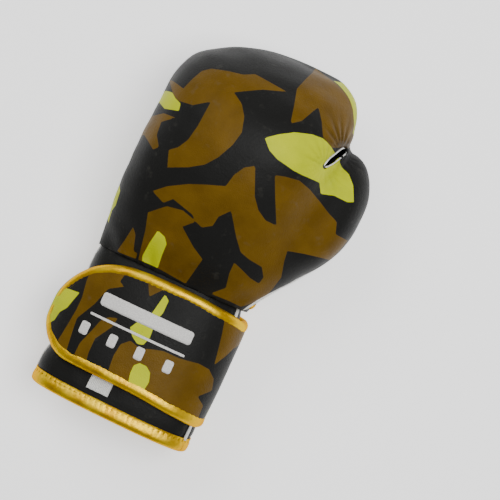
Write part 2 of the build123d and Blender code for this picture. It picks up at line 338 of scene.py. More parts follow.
def leather(name, base, camo=False):
    """PU leather: fine pebble grain, a soft sheen that varies, and the camouflage print where asked, with
    painted shade in the folds round the thumb slit.
    """
    n = Nodes(name)
    tone = base
    if camo:
        brown = n.stored("brown")
        neon = n.stored("neon")
        cloudy = n.noise(60.0, 4.0)
        brown_tone = n.mix(n.ramp(cloudy, 0.35, 0.65), colour(90, 65, 8), colour(101, 74, 11))
        tone = n.mix(n.ramp(brown, -0.12, 0.12), base, brown_tone)
        neon_tone = n.mix(n.ramp(cloudy, 0.35, 0.65), colour(180, 190, 0), colour(192, 200, 0))
        tone = n.mix(n.ramp(neon, -0.12, 0.12), tone, neon_tone)
        # painted shade: the print is darkened back towards black in the folds round the slit and at its outer
        # end
        shade = n.stored("shade")
        tone = n.mix(n.math("MULTIPLY", shade, 0.75), tone, base)
    pebble = n.cells(1150.0)
    crease = n.noise(420.0, 4.0)
    broad = n.noise(28.0, 3.0)
    normal = n.bump(pebble, 0.00022, strength=0.5)
    normal = n.bump(crease, 0.0003, normal, strength=0.45)
    wear = n.math("ADD", n.math("MULTIPLY", broad, 0.7), n.math("MULTIPLY", pebble, 0.3))
    roughness = n.ramp(wear, 0.3, 0.7, 0.4, 0.54)
    worn = n.mix(n.ramp(n.noise(140.0, 5.0), 0.62, 0.8, 0.0, 0.18), tone, colour(96, 94, 86))
    return n.finish(**{"Base Color": worn, "Roughness": roughness, "Normal": normal,
                       "Specular IOR Level": 0.28, "IOR": 1.26})


def gold_tape():
    """Gold PU tape: pearly, brighter along the roll of the edge, with fine creases across it and painted
    shade in the stitch dimples.
    """
    n = Nodes("gold_tape")
    patches = n.noise(75.0, 4.0)
    row = n.stored("stitch")
    tone = n.mix(n.ramp(patches, 0.3, 0.7), GOLD, colour(236, 202, 22))
    # painted shade: the tape darkens where its stitches pull in
    tone = n.mix(n.ramp(row, 0.25, 0.9, 0.0, 0.8), tone, GOLD_DARK)
    creases = n.noise(520.0, 3.0)
    normal = n.bump(creases, 0.00035, strength=0.6)
    normal = n.bump(patches, 0.0008, normal, strength=0.5)
    roughness = n.ramp(patches, 0.3, 0.7, 0.4, 0.52)
    return n.finish(**{"Base Color": tone, "Roughness": roughness, "Normal": normal, "Metallic": 0.9,
                       "Specular IOR Level": 0.2, "Specular Tint": colour(240, 190, 60)})


def cloth(name, dark, light, pitch=900.0, sheen=0.3):
    """Knitted or woven cloth: crossed ribs, a little fuzz."""
    n = Nodes(name)
    place = n.place()
    rib = n.add("ShaderNodeTexWave", Vector=place, Scale=pitch / 6.0, Distortion=1.2)
    cross = n.cells(pitch, place)
    weave = n.math("ADD", n.math("MULTIPLY", rib.outputs["Fac"], 0.5), n.math("MULTIPLY", cross, 0.5))
    fuzz = n.noise(pitch * 2.2, 4.0)
    tone = n.mix(n.math("MULTIPLY", weave, n.ramp(fuzz, 0.2, 0.8, 0.7, 1.2)), dark, light)
    normal = n.bump(weave, 0.0006, n.bump(fuzz, 0.0002))
    return n.finish(**{"Base Color": tone, "Roughness": 0.9, "Normal": normal, "Sheen Weight": sheen})


def piping_cover():
    """White covered piping: satin plastic film over a cord."""
    n = Nodes("piping_cover")
    grime = n.noise(260.0, 4.0)
    tone = n.mix(n.ramp(grime, 0.45, 0.75), WHITE, colour(196, 194, 186))
    roughness = n.ramp(grime, 0.3, 0.7, 0.32, 0.5)
    return n.finish(**{"Base Color": tone, "Roughness": roughness, "Normal": n.bump(grime, 0.0002)})


def print_ink():
    """White screen print, slightly broken by the grain below it."""
    n = Nodes("white_print")
    grain = n.cells(1150.0)
    tone = n.mix(n.ramp(grain, 0.1, 0.6), colour(232, 230, 226), colour(206, 204, 200))
    return n.finish(**{"Base Color": tone, "Roughness": 0.55, "Normal": n.bump(grain, 0.0001)})


CAMO = leather("camo_leather", BLACK, camo=True)
PLAIN = leather("black_leather", BLACK)
TAPE = gold_tape()
PIPING = piping_cover()
INK = print_ink()
LINING = cloth("lining_cloth", colour(12, 12, 12), colour(40, 40, 38))
LOOP = cloth("loop_tape", colour(10, 10, 10), colour(44, 44, 42), pitch=1400.0, sheen=0.6)
HOOK = cloth("hook_tape", colour(8, 8, 8), colour(54, 54, 52), pitch=1800.0, sheen=0.1)
LABEL = cloth("label_cloth", colour(206, 206, 200), colour(240, 240, 236), pitch=1600.0, sheen=0.1)


# ---------------------------------------------------------------- the camouflage print
# Corners of the patches, in glove millimetres as seen from above.
MITT_BROWN = [
    [(-58, 226), (-44, 222), (-41, 231), (-38, 238), (-33, 242), (-22, 245), (-12, 247), (-5, 251),
     (7, 250), (19, 249), (4, 243), (-12, 233), (-4, 228), (1, 221), (4, 211), (2, 201), (-3, 190),
     (-9, 182), (-18, 176), (-31, 170), (-35, 181), (-30, 185), (-26, 192), (-24, 203), (-23, 221),
     (-33, 214), (-46, 213)],
    [(-75, 192), (-56, 198), (-49, 202), (-40, 202), (-48, 196), (-47, 187), (-42, 180), (-45, 177),
     (-51, 181), (-56, 184), (-75, 172)],
    [(34, 290), (26, 262), (24, 254), (27, 243), (30, 230), (36, 235), (42, 249), (48, 241), (53, 232),
     (61, 228), (72, 234.5), (90, 244), (92, 262), (66, 262), (50, 272)],
    [(-34, 152), (-26, 159), (-14, 166), (-2, 171), (9, 175), (11, 184), (15, 191), (21, 195), (25, 186),
     (29, 177), (35, 170), (42, 166), (50, 166), (42, 181), (35, 195), (41, 197), (51, 199), (60, 197),
     (70, 193), (78, 189), (86, 186), (89, 178), (99, 178), (97, 170), (94, 161), (75, 157), (64, 154),
     (65, 147), (68, 136), (66, 126), (62, 112), (50, 104), (26, 103), (37, 114), (35, 124), (35, 132),
     (41, 130), (49, 127), (56, 126), (57, 131), (53, 137), (43, 138), (36, 140), (29, 148), (19, 162),
     (13, 155), (12, 148), (6, 144), (0, 146), (-3, 149), (-19, 153), (-24, 148)],
    [(-31, 138), (-21, 147), (-10, 149), (1, 146), (-6, 139), (6, 130), (15, 125), (11, 104), (-24, 102),
     (-28, 127)],
    [(-36.5, 125), (-33, 121), (-30, 110), (-27, 110), (-26, 103), (-41, 103), (-38.5, 114)],
]
MITT_NEON = [
    [(-60, 217), (-50, 217), (-46, 214), (-41, 212), (-40, 207), (-50, 205), (-60, 210)],
    [(47, 278), (57, 268), (64, 260), (72, 246), (86, 250), (80, 272), (60, 288)],
    [(19, 214), (26, 220), (35, 226), (46, 230), (54, 231), (60, 229), (66, 226), (74, 221), (80, 219),
     (86, 213), (91, 203), (87, 201), (77, 201), (68, 198), (64, 204), (52, 203), (45, 203), (32, 205),
     (25, 208)],
    [(-20, 130), (-14, 128), (-11, 124), (-11, 116), (-10, 104), (-21, 103), (-23, 110), (-22, 120)],
    [(-80, 152), (-60, 150), (-55, 143), (-54, 133), (-58, 120), (-78, 128)],
]
# Patches on the parts that the view from above hides: down the little-finger side and the front of the fist.
MITT_BROWN += [
    [(-100, 214), (-78, 220), (-66, 212), (-72, 200), (-90, 196)],
    [(-96, 160), (-82, 170), (-66, 166), (-62, 150), (-74, 142), (-70, 126), (-86, 118), (-98, 134)],
    [(-44, 300), (-24, 292), (-6, 302), (8, 296), (14, 310), (-4, 326), (-30, 322)],
    [(20, 318), (44, 306), (58, 314), (50, 334), (28, 338)],
]
MITT_NEON += [
    [(-18, 310), (-4, 306), (6, 316), (-6, 328), (-20, 324)],
    [(-84, 206), (-74, 210), (-70, 204), (-78, 196), (-88, 198)],
    [(112, 190), (122, 196), (124, 176), (114, 168)],
]
STRAP_BROWN = [
    [(-51, 88), (-28, 94), (-29, 88), (-25, 86), (-34, 80), (-38, 67), (-42, 59), (-45, 53), (-44, 44),
     (-42, 28), (-52, 28), (-50, 38), (-49, 47), (-48, 58), (-48, 67), (-50, 78)],
    [(-12, 96), (1, 97), (-7, 87)],
    [(-26, 63), (-20, 65), (-21, 58), (-28, 46), (-28, 36), (-25, 16), (-37, 16), (-36, 39), (-32, 51),
     (-30, 58)],
    [(-11, 50), (-6, 55), (2, 53), (10, 56), (17, 58), (29, 58), (42, 60), (50, 59), (56, 54), (59, 46),
     (51, 39), (58, 34), (60, 12), (32, 12), (-3, 14), (-11, 30), (-12, 41)],
    [(45, 96), (74, 100), (72, 84), (61, 78), (52, 63), (50, 74), (48, 84)],
]
STRAP_NEON = [
    [(-51, 69), (-64, 67), (-70, 52), (-64, 38), (-59, 44.5), (-58, 51), (-54.5, 56), (-53, 62)],
    [(2, 93), (6, 90), (6, 81), (4, 74), (5, 62), (3, 56), (-1, 55), (-6, 58), (-10, 63), (-6, 70), (-1, 76)],
    [(6, 44), (11, 44), (15, 41), (17, 35), (16, 27), (5, 27), (3, 35), (3, 41)],
]
# The strap goes on round the thumb side and across the palm. There x is measured along the strap.
STRAP_BROWN += [
    [(84, 100), (78, 78), (86, 60), (98, 52), (112, 62), (108, 80), (118, 100)],
    [(92, 40), (110, 34), (128, 44), (140, 30), (136, 12), (100, 12)],
    [(136, 90), (150, 74), (168, 78), (176, 62), (164, 50), (146, 56), (132, 70)],
    [(176, 100), (186, 84), (204, 78), (216, 90), (214, 102)],
    [(182, 44), (200, 52), (214, 40), (206, 12), (188, 12)],
]
STRAP_NEON += [
    [(120, 76), (130, 84), (134, 70), (126, 60), (118, 64)],
    [(158, 36), (170, 40), (174, 26), (162, 18)],
    [(70, 30), (76, 40), (82, 34), (80, 20), (72, 16)],
]


def inside_distance(points, polygon):
    """Signed distance to a polygon's edge, positive inside, for an array of 2-D points."""
    corners = np.array(polygon, float)
    ahead = np.roll(corners, -1, 0)
    nearest = np.full(len(points), 1e9)
    inside = np.zeros(len(points), bool)
    for a, b in zip(corners, ahead):
        edge = b - a
        share = np.clip(((points - a) @ edge) / (edge @ edge), 0, 1)
        nearest = np.minimum(nearest, np.linalg.norm(points - a - share[:, None] * edge, axis=1))
        crosses = (a[1] > points[:, 1]) != (b[1] > points[:, 1])
        rise = b[1] - a[1] if b[1] != a[1] else 1e-9
        inside ^= crosses & (points[:, 0] < (b[0] - a[0]) * (points[:, 1] - a[1]) / rise + a[0])
    return np.where(inside, nearest, -nearest)


def mark(obj, name, values):
    """Stores one value for each vertex, for the materials to read."""
    attribute = obj.data.attributes.new(name, "FLOAT", "POINT")
    attribute.data.foreach_set("value", values.reshape(-1).astype(np.float32))


def paint(obj, places, brown, neon, limit=5.0):
    """Stores how far each vertex is inside the print's patches, and inside limit."""
    for name, patches in (("brown", brown), ("neon", neon)):
        depth = np.max([inside_distance(places, patch) for patch in patches], axis=0)
        depth = np.minimum(depth, limit)
        mark(obj, name, np.clip(depth, -5, 5))


# ---------------------------------------------------------------- outlines across the hand
class Outline:
    """A curve across the hand, by length along it, with its outward normals."""

    def __init__(self, path):
        self.path = resample(np.array(path, float), 0.5)
        along = np.gradient(self.path, axis=0)
        for _ in range(6):
            along[1:-1] = (along[:-2] + 2 * along[1:-1] + along[2:]) / 4
        along = unit(along)
        self.along = along
        self.normal = np.stack([along[:, 1], -along[:, 0]], 1)
        self.length = distance_along(self.path)
        self.start = 0.0
        self.flare = 0.0

    def _read(self, values, s):
        s = np.asarray(s, float) + self.start
        return np.stack([np.interp(s, self.length, values[:, k]) for k in range(2)], -1)

    def at(self, s, y, offset=0.0):
        """Places offset outwards from the curve, at lengths s and stations y."""
        s, y, offset = np.broadcast_arrays(*(np.asarray(value, float) for value in (s, y, offset)))
        flat = self._read(self.path, s) + self._read(self.normal, s) * offset[..., None]
        x = flat[..., 0]
        spread = 1 + self.flare * (1 - step(16, 36, y))
        skew = (0.8 + x / 60) * (1 - step(2, 22, y)) * (self.flare > 0)
        return np.stack([x * spread, y - skew, flat[..., 1]], -1)

    def directions(self, s):
        """Unit vectors along the curve and outwards."""
        along, normal = unit(self._read(self.along, s)), unit(self._read(self.normal, s))
        zero = np.zeros(along.shape[:-1])
        along, normal = (np.stack([way[..., 0], zero, way[..., 1]], -1) for way in (along, normal))
        return along, normal

    def where_x(self, x, low, high):
        """The length, between low and high, at which the curve passes x."""
        s = np.linspace(low, high, 400)
        return float(s[np.argmin(np.abs(self._read(self.path, s)[:, 0] - x))])

    def where_z(self, z, low, high):
        s = np.linspace(low, high, 400)
        return float(s[np.argmin(np.abs(self._read(self.path, s)[:, 1] - z))])


ROUNDNESS = 2.6


def oval(angle, half_width, half_height, roundness=ROUNDNESS):
    """A point of a rounded oval."""
    c, s = np.cos(angle), np.sin(angle)
    x = half_width * np.sign(c) * np.abs(c) ** (2 / roundness)
    z = half_height * np.sign(s) * np.abs(s) ** (2 / roundness)
    return np.stack([x, z], -1)


def cuff_outline():
    """Once round the cuff and a bit more, starting past the little-finger side, going under the palm."""
    angle = np.linspace(math.radians(-200), math.radians(250), 4000)
    path = oval(angle, HALF_WIDTH, HALF_HEIGHT) + [0, MIDDLE]
    outline = Outline(path)
    bottom = np.argmin(np.where(outline.length < outline.length[-1] * 0.6, outline.path[:, 1], 1e9))
    outline.start = outline.length[bottom]
    return outline


CUFF = cuff_outline()
CUFF.flare = 0.07  # the mouth spreads where the strap no longer holds it
QUARTER = CUFF.where_z(MIDDLE, 20, 100)
ROUND = 4 * QUARTER


def strap_outline():
    """The strap's way: from its sewn end, under the palm, round the thumb side and over to the free end."""
    s = np.arange(-QUARTER - 12, CUFF.where_x(-22, ROUND / 2, ROUND / 2 + 40), 0.5)
    path = CUFF.at(s, 60.0)[:, ::2]
    heading = math.atan2(*(path[-1] - path[-2])[::-1])
    tip_radius, length = 58.0, 62.0
    turns = heading + np.linspace(0, length / tip_radius, 240)
    steps = np.stack([np.cos(turns), np.sin(turns)], 1) * (length / 240)
    outline = Outline(np.vstack([path, path[-1] + np.cumsum(steps, 0)]))
    outline.start = -s[0]
    return outline


STRAP = strap_outline()


# ---------------------------------------------------------------- the padded mitt and thumb
# Each list holds (station along the hand, place) pairs.
NOSE = NOSE_Y + 2.2  # the leather reaches a little past the CAD's nose
MITT_LEFT = curve_of([(88, -55), (96, -55), (104, -55.3), (120, -56.8), (140, -57.9), (160, -58.4),
                      (185, -58.6), (205, -58.3), (220, -57.7), (232, -56.6), (245.8, -52.2),
                      (254.3, -45.6), (264.9, -29.6), (271.9, -11.6), (275.6, 7.7), (276.9, 24),
                      (NOSE, 33)])
MITT_RIGHT = curve_of([(88, 55), (96, 55), (104, 55.3), (116, 56), (132, 58.5), (152, 61.5), (172, 65),
                       (195, 69.5), (215, 72.8), (232, 74.6), (240, 74), (250, 71.8), (260, 68),
                       (268.6, 62.2), (275.2, 51), (276.8, 42), (NOSE, 34)])
MITT_TOP = curve_of([(88, 71.5), (96, 71.5), (104, 72.3), (114, 79), (130, 90.5), (150, 102), (172, 111),
                     (193, 116.3), (210, 116.8), (226, 113), (241, 104.5), (254, 93), (264, 80),
                     (271, 67), (274.4, 57), (NOSE, 50)])
MITT_BOTTOM = curve_of([(88, 8.8), (96, 8.8), (104, 8.9), (116, 12.5), (132, 19), (148, 22.5),
                        (164, 20.5), (180, 10.5), (194, 1), (206, -2), (224, -2.5), (238, 0.5),
                        (250, 7.5), (260, 16), (268, 27), (273, 39), (NOSE, 49)])
MITT_ROUNDNESS = curve_of([(88, 2.6), (104, 2.55), (130, 2.4), (170, 2.35), (210, 2.4), (245, 2.35),
                           (NOSE, 2.15)])

# Thumb sections: station, middle x, middle z, half width, half height
THUMB = [(106, 36, 42, 16, 19), (124, 46, 44, 21, 24), (141, 56.5, 46, 24.5, 27),
         (161, 68, 47, 26.5, 28.5), (182, 74, 47.5, 27, 28.5), (204, 75.4, 47.5, 25.6, 26.5),
         (218, 76, 47.5, 21, 21.5), (227, 76.6, 47.5, 15.2, 15.6), (232, 77, 47.5, 9.8, 10.2),
         (235, 77.2, 47.5, 3.8, 4.2)]

CROTCH = np.array([62.5, 215.2])
SLIT_TOP = np.array([70.9, 232.4])
SLIT_FLOOR = 44.0
SLIT_WIDTH = 2.6
PALM_SLIT_WIDTH = 2.2


def ring_mesh(rings):
    """A closed tube mesh from rings of places, with flat ends. Vertices, quads and end triangles."""
    count, around = rings.shape[:2]
    verts = rings.reshape(-1, 3)
    quads = lattice(count, around, closed_columns=True)
    verts = np.vstack([verts, rings[0].mean(0), rings[-1].mean(0)])
    near, far = len(verts) - 2, len(verts) - 1
    last = (count - 1) * around
    tris = [(near, (j + 1) % around, j) for j in range(around)]
    tris += [(far, last + j, last + (j + 1) % around) for j in range(around)]
    return verts, np.array(quads), np.array(tris)


def mitt_rings():
    """The mitt as rings from the wrist to the nose."""
    angle = np.linspace(0, 2 * math.pi, 160, endpoint=False)
    start = 90.0
    rings = []
    for share in np.linspace(0, 1, 120):
        y = start + (NOSE - start) * math.sin(share * math.pi / 2)
        left, right, low, high = MITT_LEFT(y), MITT_RIGHT(y), MITT_BOTTOM(y), MITT_TOP(y)
        flat = oval(angle, max(right - left, 1) / 2, max(high - low, 1) / 2, MITT_ROUNDNESS(y))
        across, height = flat[:, 0] + (left + right) / 2, flat[:, 1] + (low + high) / 2
        rings.append(np.stack([across, np.full(len(angle), y), height], 1))
    return np.array(rings)


def thumb_rings():
    """The thumb as rings from its root to its tip."""
    sections = smooth_path(THUMB, 12)
    angle = np.linspace(0, 2 * math.pi, 96, endpoint=False)
    rings = []
    for y, x, z, half_width, half_height in sections:
        flat = oval(angle, half_width, half_height, 2.15)
        rings.append(np.stack([flat[:, 0] + x, np.full(len(angle), y), flat[:, 1] + z], 1))
    return np.array(rings)


VOXEL = 1.5
BAND = 18  # voxels of true distance each side of a surface
LOW = np.floor(np.array([-66, 84, -8]) / VOXEL).astype(int)
SHAPE = (np.ceil(np.array([112, 284, 128]) / VOXEL).astype(int) - LOW)
AXES = [(LOW[k] + np.arange(SHAPE[k])) * VOXEL for k in range(3)]
X, Y, Z = np.meshgrid(*AXES, indexing="ij")


def distance_field(rings):
    """Signed distance to a ring mesh on the grid."""
    verts, quads, tris = ring_mesh(rings)
    grid = openvdb.FloatGrid.createLevelSetFromPolygons(
        verts.astype(np.float32), triangles=tris.astype(np.uint32), quads=quads.astype(np.uint32),
        transform=openvdb.createLinearTransform(VOXEL), halfWidth=BAND)
    field = np.full(SHAPE, BAND * VOXEL, np.float32)
    grid.copyToArray(field, ijk=tuple(int(v) for v in LOW))
    return field.astype(float)


def smooth_union(a, b, reach):
    """Union of two fields with a fillet about reach wide."""
    share = np.clip(0.5 + 0.5 * (b - a) / reach, 0, 1)
    return b + (a - b) * share - reach * share * (1 - share)


def blur(field, rounds):
    """Evens out a field on the grid."""
    for _ in range(rounds):
        for axis in range(3):
            ahead, behind = np.roll(field, 1, axis), np.roll(field, -1, axis)
            field = (ahead + 2 * field + behind) / 4
    return field


def from_segment(x, y, start, end):
    """Distance from a line segment seen from above, and the share along it."""
    edge = end - start
    share = np.clip(((x - start[0]) * edge[0] + (y - start[1]) * edge[1]) / (edge @ edge), 0, 1)
    return np.hypot(x - start[0] - share * edge[0], y - start[1] - share * edge[1]), share


def padded_form():
    """Distance fields of the whole padded form, the mitt and the thumb."""
    mitt_field, thumb_field = distance_field(mitt_rings()), distance_field(thumb_rings())
    saddle = step(34, 60, Z) * (1 - step(196, 216, Y))
    form = smooth_union(mitt_field, thumb_field, 4 + 18 * saddle)
    form = blur(form, 1)
    gap, share = from_segment(X, Y, CROTCH, SLIT_TOP)
    slit = np.maximum(gap - SLIT_WIDTH / 2 * (0.75 + 0.25 * share), SLIT_FLOOR - Z)
    palm_slit = np.maximum(np.maximum(np.abs(X) - PALM_SLIT_WIDTH / 2, Y - SLIT_END + 1), Z - 32)
    form = -smooth_union(-form, np.minimum(slit, palm_slit), 1.2)
    return np.maximum(form, -Z), mitt_field, thumb_field


def read_field(field, points):
    """A field at points, by straight interpolation."""
    place = points / VOXEL - LOW
    base = np.clip(np.floor(place).astype(int), 0, np.array(SHAPE) - 2)
    share = place - base
    total = 0
    for corner in np.ndindex(2, 2, 2):
        weight = np.prod(np.where(corner, share, 1 - share), axis=1)
        i, j, k = (base + corner).T
        total = total + weight * field[i, j, k]
    return total


def edges_of(faces):
    """Every edge of a quad mesh, once each way."""
    pairs = np.vstack([faces[:, [k, (k + 1) % 4]] for k in range(4)])
    return np.vstack([pairs, pairs[:, ::-1]])


def to_mean(verts, pairs):
    """How far each vertex is from the mean of its neighbours."""
    count = np.bincount(pairs[:, 0], minlength=len(verts))[:, None]
    sums = [np.bincount(pairs[:, 0], verts[pairs[:, 1], k], len(verts)) for k in range(3)]
    mean = np.stack(sums, 1) / count
    return mean - verts


def relax(verts, pairs, rounds):
    """Smooths without shrinking."""
    for index in range(2 * rounds):
        verts = verts + (0.5 if index % 2 == 0 else -0.52) * to_mean(verts, pairs)
    return verts


def normals_of(verts, faces):
    """Vertex normals of a quad mesh."""
    across = np.cross(verts[faces[:, 2]] - verts[faces[:, 0]], verts[faces[:, 3]] - verts[faces[:, 1]])
    total = np.zeros_like(verts)
    for k in range(4):
        np.add.at(total, faces[:, k], across)
    return unit(total)


def seam_height(p):
    """Height of the seam between the back leather and the palm side."""
    thumb_side = step(0, 40, p[:, 0])
    root = 30 + 30 * thumb_side * (1 - step(108, 190, p[:, 1]))
    fist = step(168, 206, p[:, 1]) * (1 - step(58, 66, p[:, 0]))
    front = step(236, 262, p[:, 1])
    return root + (FIST_SEAM + 14 * front - root) * fist


def slit_folds(p):
    """Depth of the short folds at both ends of the slit, deepest on the mitt's side of its outer end."""
    depth = 0
    for end, size, most in ((CROTCH, 14.0, 0.35), (SLIT_TOP - [1, 2], 15.0, 1.3)):
        away = p[:, :2] - end
        reach = np.hypot(*away.T)
        angle = np.arctan2(away[:, 1], away[:, 0])
        grooves = np.cos(angle * 9 + 0.8 * np.sin(angle * 3)) ** 4
        mitt_side = step(0.6, 1.2, angle)
        folded = grooves * step(1.5, 5, reach) * bell(reach, size)
        depth = depth + folded * (0.3 + mitt_side * most)
    return depth


def puckers(p):
    """How far the leather stands out or pulls in: seams, gathers and soft dents."""
    out = 0.55 * waves(p, 58, 3) + 0.22 * waves(p, 21, 4)
    top = step(40, 60, p[:, 2])
    out -= top * slit_folds(p)
    gap, _ = from_segment(p[:, 0], p[:, 1], CROTCH, SLIT_TOP)
    out -= 0.9 * top * bell(gap, 8.0)
    # gathers where the mitt is sewn to the cuff
    around = np.arctan2(p[:, 2] - MIDDLE, p[:, 0]) * 55
    gather = 1 - step(105, 126, p[:, 1])
    out += gather * 0.75 * np.sin(around / 3.1 + 1.5 * np.sin(around / 17.0))
    return out


def skin():
    """The whole padded skin: vertices, quads and the fields that its seams follow."""
    form, mitt_field, thumb_field = padded_form()
    grid = openvdb.FloatGrid(BAND * VOXEL)
    grid.copyFromArray(form.astype(np.float32), ijk=tuple(int(v) for v in LOW))
    grid.transform = openvdb.createLinearTransform(VOXEL)
    verts, faces = grid.convertToQuads(isovalue=0.0)
    verts, faces = np.array(verts, float), np.array(faces, int)
    pairs = edges_of(faces)
    verts = relax(verts, pairs, 5)
    normal = normals_of(verts, faces)
    if np.mean(np.sum(normal * (verts - verts.mean(0)), 1)) < 0:
        faces, normal = faces[:, ::-1], -normal
    height = verts[:, 2] - seam_height(verts)
    crease = read_field(thumb_field, verts) - read_field(mitt_field, verts)
    finger = verts[:, 1] - FIST_START - 6 * np.sin((verts[:, 0] - 6) / 50)
    out = puckers(verts)
    out -= 1.1 * bell(height, 3.2)
    below = 1 - step(-2, 2, height)
    out -= 1.0 * below * bell(finger, 3.2) * step(-3, 3, crease)
    flat = (1 - step(0.5, 4, verts[:, 2]))
    verts = verts + normal * (out * (1 - flat))[:, None]
    verts = relax(verts, pairs, 1)
    gap, _ = from_segment(verts[:, 0], verts[:, 1], CROTCH, SLIT_TOP)
    lips = (1 - step(3.5, 7, gap)) * step(40, 50, verts[:, 2])
    for _ in range(8):
        verts = verts + 0.5 * lips[:, None] * to_mean(verts, pairs)
    verts[:, 2] = np.maximum(verts[:, 2], 0.0)
    fields = np.stack([height, crease, finger, verts[:, 1] - CUFF_LENGTH], 1)
    return verts, faces, fields


def clip(verts, faces, fields, which, sign=1.0, snap=0.12):
    """Keeps the part of a mesh where one field is positive, with a clean edge where it is zero."""
    value = fields[:, which] * sign
    value = np.where(np.abs(value) < snap, 0.0, value)
    new_verts, new_fields, cuts = [], [], {}
    first = len(verts)

    def crossing(a, b):
        key = (min(a, b), max(a, b))
        if key not in cuts:
            share = value[a] / (value[a] - value[b])
            cuts[key] = first + len(new_verts)
            new_verts.append(verts[a] + (verts[b] - verts[a]) * share)
            mixed = fields[a] + (fields[b] - fields[a]) * share
            mixed[which] = 0.0
            new_fields.append(mixed)
        return cuts[key]

    kept = []
    for face in faces:
        signs = [value[i] for i in face]
        if min(signs) >= 0:
            if max(signs) > 0:
                kept.append(tuple(face))
            continue
        if max(signs) <= 0:
            continue
        shape = []
        for a, b in zip(face, tuple(face[1:]) + (face[0],)):
            if value[a] >= 0:
                shape.append(a)
            if value[a] * value[b] < 0:
                shape.append(crossing(a, b))
        if len(shape) > 2:
            kept.append(tuple(shape))
    fields = fields.copy()
    fields[np.abs(fields[:, which]) < snap, which] = 0.0
    if new_verts:
        verts, fields = np.vstack([verts, new_verts]), np.vstack([fields, new_fields])
    used = np.unique([i for face in kept for i in face])
    index = np.full(len(verts), -1)
    index[used] = np.arange(len(used))
    return verts[used], [tuple(index[i] for i in face) for face in kept], fields[used]


def chains(faces, on_edge):
    """Runs of free edges whose ends both lie where on_edge is true."""
    seen = {}
    for face in faces:
        for a, b in zip(face, face[1:] + face[:1]):
            key = (min(a, b), max(a, b))
            seen[key] = seen.get(key, 0) + 1
    links = {}
    for (a, b), count in seen.items():
        if count == 1 and on_edge[a] and on_edge[b]:
            links.setdefault(a, []).append(b)
            links.setdefault(b, []).append(a)
    runs, left = [], set(links)
    while left:
        ends = [v for v in left if len(links[v]) == 1]
        run = [min(ends) if ends else min(left)]
        left.discard(run[0])
        while True:
            onward = [v for v in links[run[-1]] if v in left]
            if not onward:
                break
            run.append(onward[0])
            left.discard(onward[0])
        runs.append(run)
    return sorted(runs, key=len, reverse=True)


def mitt_print_places(p, fields):
    """Where each vertex falls on the print: as seen from above, and spread out down the steep sides."""
    is_thumb = 1 - step(-6, 6, fields[:, 1])
    thumb = smooth_path([(row[0], row[1], row[2]) for row in THUMB], 12)
    mitt_spine = np.stack([np.full(len(p), 6.0), np.clip(p[:, 1], 90, 214)], 1)
    thumb_y = np.clip(p[:, 1], 106, 206)
    thumb_spine = np.stack([np.interp(thumb_y, thumb[:, 0], thumb[:, 1]), thumb_y], 1)
    spine = mitt_spine + (thumb_spine - mitt_spine) * is_thumb[:, None]
    out = unit(p[:, :2] - spine)
    equator = np.where(is_thumb > 0.5, 52.0, 66.0)
    return p[:, :2] + out * np.maximum(equator - p[:, 2], 0)[:, None]


GLOVE = "glove"
SKIN = skin()


def panel(name, cuts, material):
    """One leather panel of the padded form, cut from the whole skin along its seams."""
    verts, faces, fields = SKIN
    faces = [tuple(face) for face in faces]
    for which, sign in [(3, 1.0), *cuts]:
        verts, faces, fields = clip(verts, faces, fields, which, sign)
    obj = make_piece(name, verts, faces, material)
    return obj, verts, faces, fields


def finish_panel(obj, replaces):
    """Gives a panel its leather's thickness and its place in the frame."""
    thicken(obj, LEATHER)
    obj.data.polygons.foreach_set("use_smooth", [True] * len(obj.data.polygons))
    settle(obj, GLOVE, replaces=replaces)


def make_back_leather():
    """The printed leather over the back of the hand, the knuckles and the thumb, with painted shade where it
    dips under the strap and round the slit.
    """
    obj, verts, faces, fields = panel("back_leather", [(0, 1.0)], CAMO)
    # painted shade: the print stops a little short of the cuff, leaving a band of plain black where the mitt
    # dips under the strap
    strap_shade_band = verts[:, 1] - CUFF_LENGTH - 1.8 + 0.8 * np.sin(verts[:, 0] / 9)
    gap, _ = from_segment(verts[:, 0], verts[:, 1], CROTCH, SLIT_TOP)
    within_slit = gap - SLIT_WIDTH / 2 - 0.3
    paint(obj, mitt_print_places(verts, fields), MITT_BROWN, MITT_NEON, np.minimum(strap_shade_band, within_slit))
    # painted shade for the folds round the slit and its outer end, which the camo leather darkens
    near_end = bell(np.hypot(*(verts[:, :2] - SLIT_TOP).T), 6)
    shade = np.clip(slit_folds(verts) * 0.55 + near_end * 0.7, 0, 1) * step(40, 60, verts[:, 2])
    mark(obj, "shade", shade)
    finish_panel(obj, ["back_panel", "knuckle_foam", "thumb_foam"])
    return verts, faces, fields


def seam_path(verts, faces, fields, which, keep):
    """A smooth path along a panel's seam, where keep is true."""
    runs = chains(faces, (np.abs(fields[:, which]) < 1e-6) & keep)
    path = verts[runs[0]]
    for _ in range(5):
        path[1:-1] = (path[:-2] + 2 * path[1:-1] + path[2:]) / 4
    return resample(path, 1.6)


def make_seam_piping(verts, faces, fields):
    """White piping along the seam, beside the heel of the hand and round the thumb."""
    little = (verts[:, 0] < 0) & (verts[:, 1] < 208) & (verts[:, 1] > CUFF_LENGTH)
    around_thumb = (verts[:, 0] > 20) & (fields[:, 1] < 3.0)
    cords = [("little_side_cord", little, "little_side_piping"),
             ("thumb_cord", around_thumb, "thumb_piping")]
    for name, keep, node in cords:
        path = seam_path(verts, faces, fields, 0, keep)
        radius = CORD_RADIUS * taper(len(path), 0.6)
        obj = make_piece(name, *tube(path, np.maximum(radius, 0.25)), PIPING)
        settle(obj, GLOVE, [node])


back = make_back_leather()
make_seam_piping(*back)


